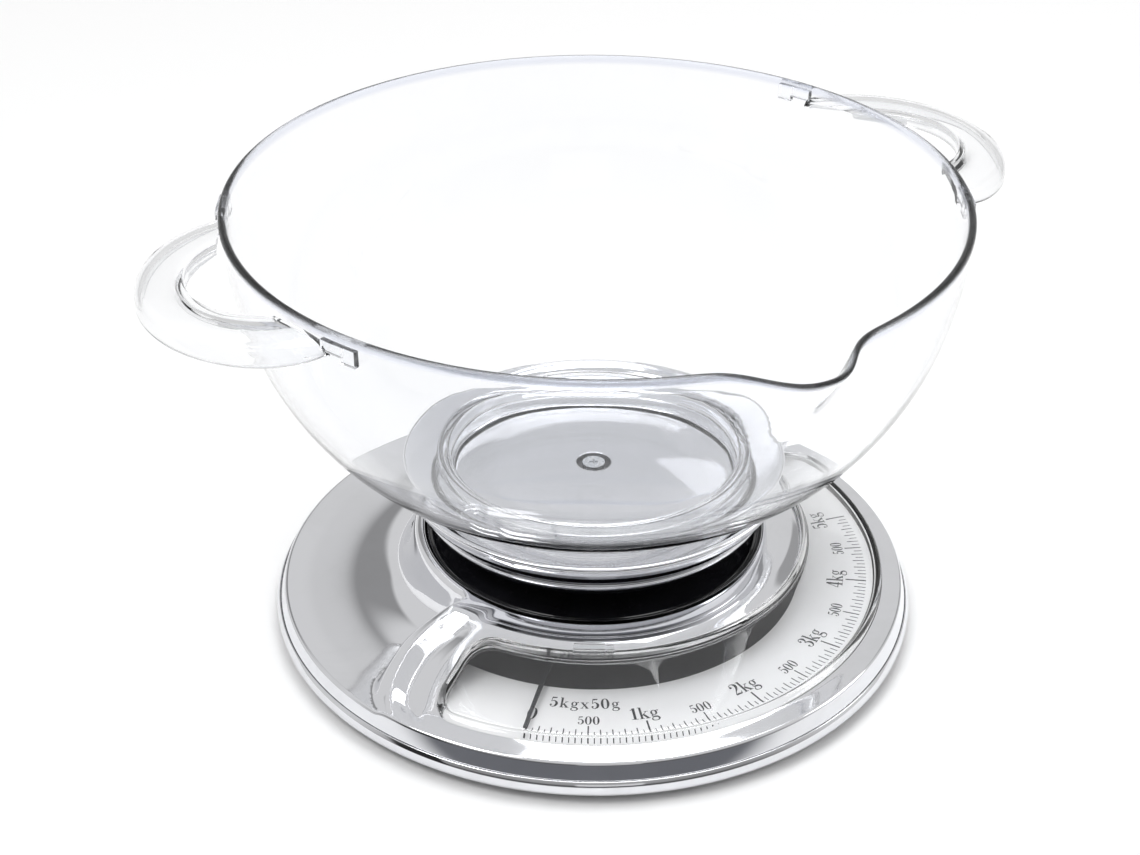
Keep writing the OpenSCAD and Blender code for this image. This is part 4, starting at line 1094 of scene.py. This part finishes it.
def tick_class(every, inner_r, width):
    """Settings for one class of dial tick: one mark every so many grams, from its inner radius out."""
    return {"Count": FULL_LOAD // every + 1, "First angle": math.radians(ZERO_AZIMUTH),
            "Step": math.radians(SWEEP * every / FULL_LOAD), "Outer radius": TICK_OUT * MM,
            "Length": (TICK_OUT - inner_r) * MM, "Width": width * MM, "Thickness": INK_THICK * MM,
            "Height": (DIAL_TOP + 0.012 + every * 1e-6) * MM, "Finish": INK}


v, f = grown("dial_ticks", SPOKES, [tick_class(50, 98.6, 0.34), tick_class(100, 97.3, 0.4),
                                    tick_class(500, 95.4, 0.5), tick_class(1000, 94.0, 0.62)])
new_piece("dial_ticks", v, f, "base", INK)

spring_low, spring_high = edges_of("main_spring")
v, f = grown("spring_coil", COIL, [{"Turns": SPRING_TURNS, "Radius": SPRING_R * MM, "Wire": SPRING_WIRE * MM,
                                    "Height": (spring_high[2] - spring_low[2] - SPRING_WIRE) * MM,
                                    "Foot": (spring_low[2] + SPRING_WIRE / 2) * MM, "Finish": SPRING_STEEL}])
spring = new_piece("main_spring_coil", v, f, "base", SPRING_STEEL, ["main_spring"], sharp=60)
recalculated(spring)
travel = next(j for j in frame["record"]["behaviour"]["joints"] if j["name"] == "load_slide")["range_m"][1] / MM
1 - travel / (spring_high[2] - spring_low[2])
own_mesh(spring)

pan_low, _ = edges_of("base_pan")
v, f = grown("pan_ribs", SPOKES, [{"Count": 24, "First angle": math.radians(7.5), "Step": math.radians(15),
                                   "Outer radius": 108 * MM, "Length": 58 * MM, "Width": 1.2 * MM,
                                   "Thickness": 1.0 * MM, "Height": (pan_low[2] - 0.45) * MM, "Finish": BLACK_MATTE}])
new_piece("pan_ribs", v, f, "base", BLACK_MATTE)


# ---------------------------------------------------------------- studio

def make_studio():
    floor = bpy.data.meshes.new("floor")
    floor.from_pydata([(-8, -8, 0), (8, -8, 0), (8, 8, 0), (-8, 8, 0)], [], [(0, 1, 2, 3)])
    floor.materials.append(floor_paint())
    ground = bpy.data.objects.new("floor", floor)
    bpy.context.scene.collection.objects.link(ground)

    world = bpy.data.worlds.new("studio_room")
    bpy.context.scene.world = world
    f = Finish(world)
    split = f.tree.nodes.new("ShaderNodeSeparateXYZ")
    f.tree.links.new(f.node("ShaderNodeTexCoord", out=0).socket, split.inputs[0])
    x, y, z = (Val(f.tree, s) for s in split.outputs)
    # a bright ceiling, a light wall behind, a dim room on the reader's side with a few dark shapes

    def patch(cx, cz, wx, wz, soft, front):
        """A soft-edged dark shape in the room, by its direction."""
        across = 1 - abs(x - cx).ramp(wx, wx + soft)
        high = 1 - abs(z - cz).ramp(wz, wz + soft)
        return across * high * ((y if front < 0 else 0 - y) * -1.0).ramp(-0.1, 0.1)

    reader = (0 - y).ramp(0.0, 0.8)
    level = 0.74 - reader * (1 - z.ramp(0.12, 0.8)) * 0.64
    level = level - patch(-0.34, 0.50, 0.20, 0.10, 0.10, 1) * 0.42
    level = level - patch(0.62, 0.42, 0.10, 0.16, 0.05, 1) * 0.35
    level = level - patch(-0.80, 0.25, 0.07, 0.30, 0.04, -1) * 0.4
    level = level + patch(0.10, 0.30, 0.16, 0.10, 0.03, -1) * 0.45
    level = level.most(0.03)
    # the backdrop is white straight on, and never dim through clear plastic
    path = f.tree.nodes.new("ShaderNodeLightPath")
    seen, through = Val(f.tree, path.outputs["Is Camera Ray"]), Val(f.tree, path.outputs["Is Transmission Ray"])
    level = level.most(through * 0.66)
    level = level * (1 - seen) + seen
    background = f.tree.nodes.new("ShaderNodeBackground")
    f.put(background.inputs[0], (1.0, 1.0, 1.0))
    f.put(background.inputs[1], level)
    output = f.tree.nodes.new("ShaderNodeOutputWorld")
    f.tree.links.new(background.outputs[0], output.inputs[0])

    for name, where, size, power in (("key_softbox", (-0.9, -0.5, 1.7), 0.7, 9),
                                     ("top_softbox", (0.2, 0.6, 2.0), 1.0, 11),
                                     ("side_softbox", (1.5, 0.1, 0.9), 0.6, 4)):
        lamp = bpy.data.lights.new(name, "AREA")
        lamp.shape, lamp.size, lamp.energy = "SQUARE", size, power
        piece = bpy.data.objects.new(name, lamp)
        piece.location = where
        piece.rotation_mode = "QUATERNION"
        piece.rotation_quaternion = (Vector((0, 0, 0.05)) - Vector(where)).to_track_quat("-Z", "Y")
        bpy.context.scene.collection.objects.link(piece)


FOCAL_PX, IMAGE_W = 2000, 1140
CAMERA_AT = (0, -0.6121, 0.4517)


def make_camera():
    """The reader's view: above the front, slightly left of the object's middle."""
    pitch, yaw, roll = math.radians(31.75), math.radians(-0.81), math.radians(0.2)
    ahead = Vector((math.sin(yaw) * math.cos(pitch), math.cos(yaw) * math.cos(pitch), -math.sin(pitch)))
    right = ahead.cross(Vector((0, 0, 1))).normalized()
    up = right.cross(ahead)
    right, up = (right * math.cos(roll) + up * math.sin(roll), up * math.cos(roll) - right * math.sin(roll))
    data = bpy.data.cameras.new("reader_view")
    data.sensor_fit, data.sensor_width, data.lens = "HORIZONTAL", 36, FOCAL_PX * 36 / IMAGE_W
    camera = bpy.data.objects.new("reader_view", data)
    camera.matrix_world = Matrix([(right[i], up[i], -ahead[i], CAMERA_AT[i]) for i in range(3)]
                                 + [(0, 0, 0, 1)])
    bpy.context.scene.collection.objects.link(camera)
    bpy.context.scene.camera = camera


make_studio()
make_camera()
bpy.context.scene.view_settings.view_transform = "Standard"
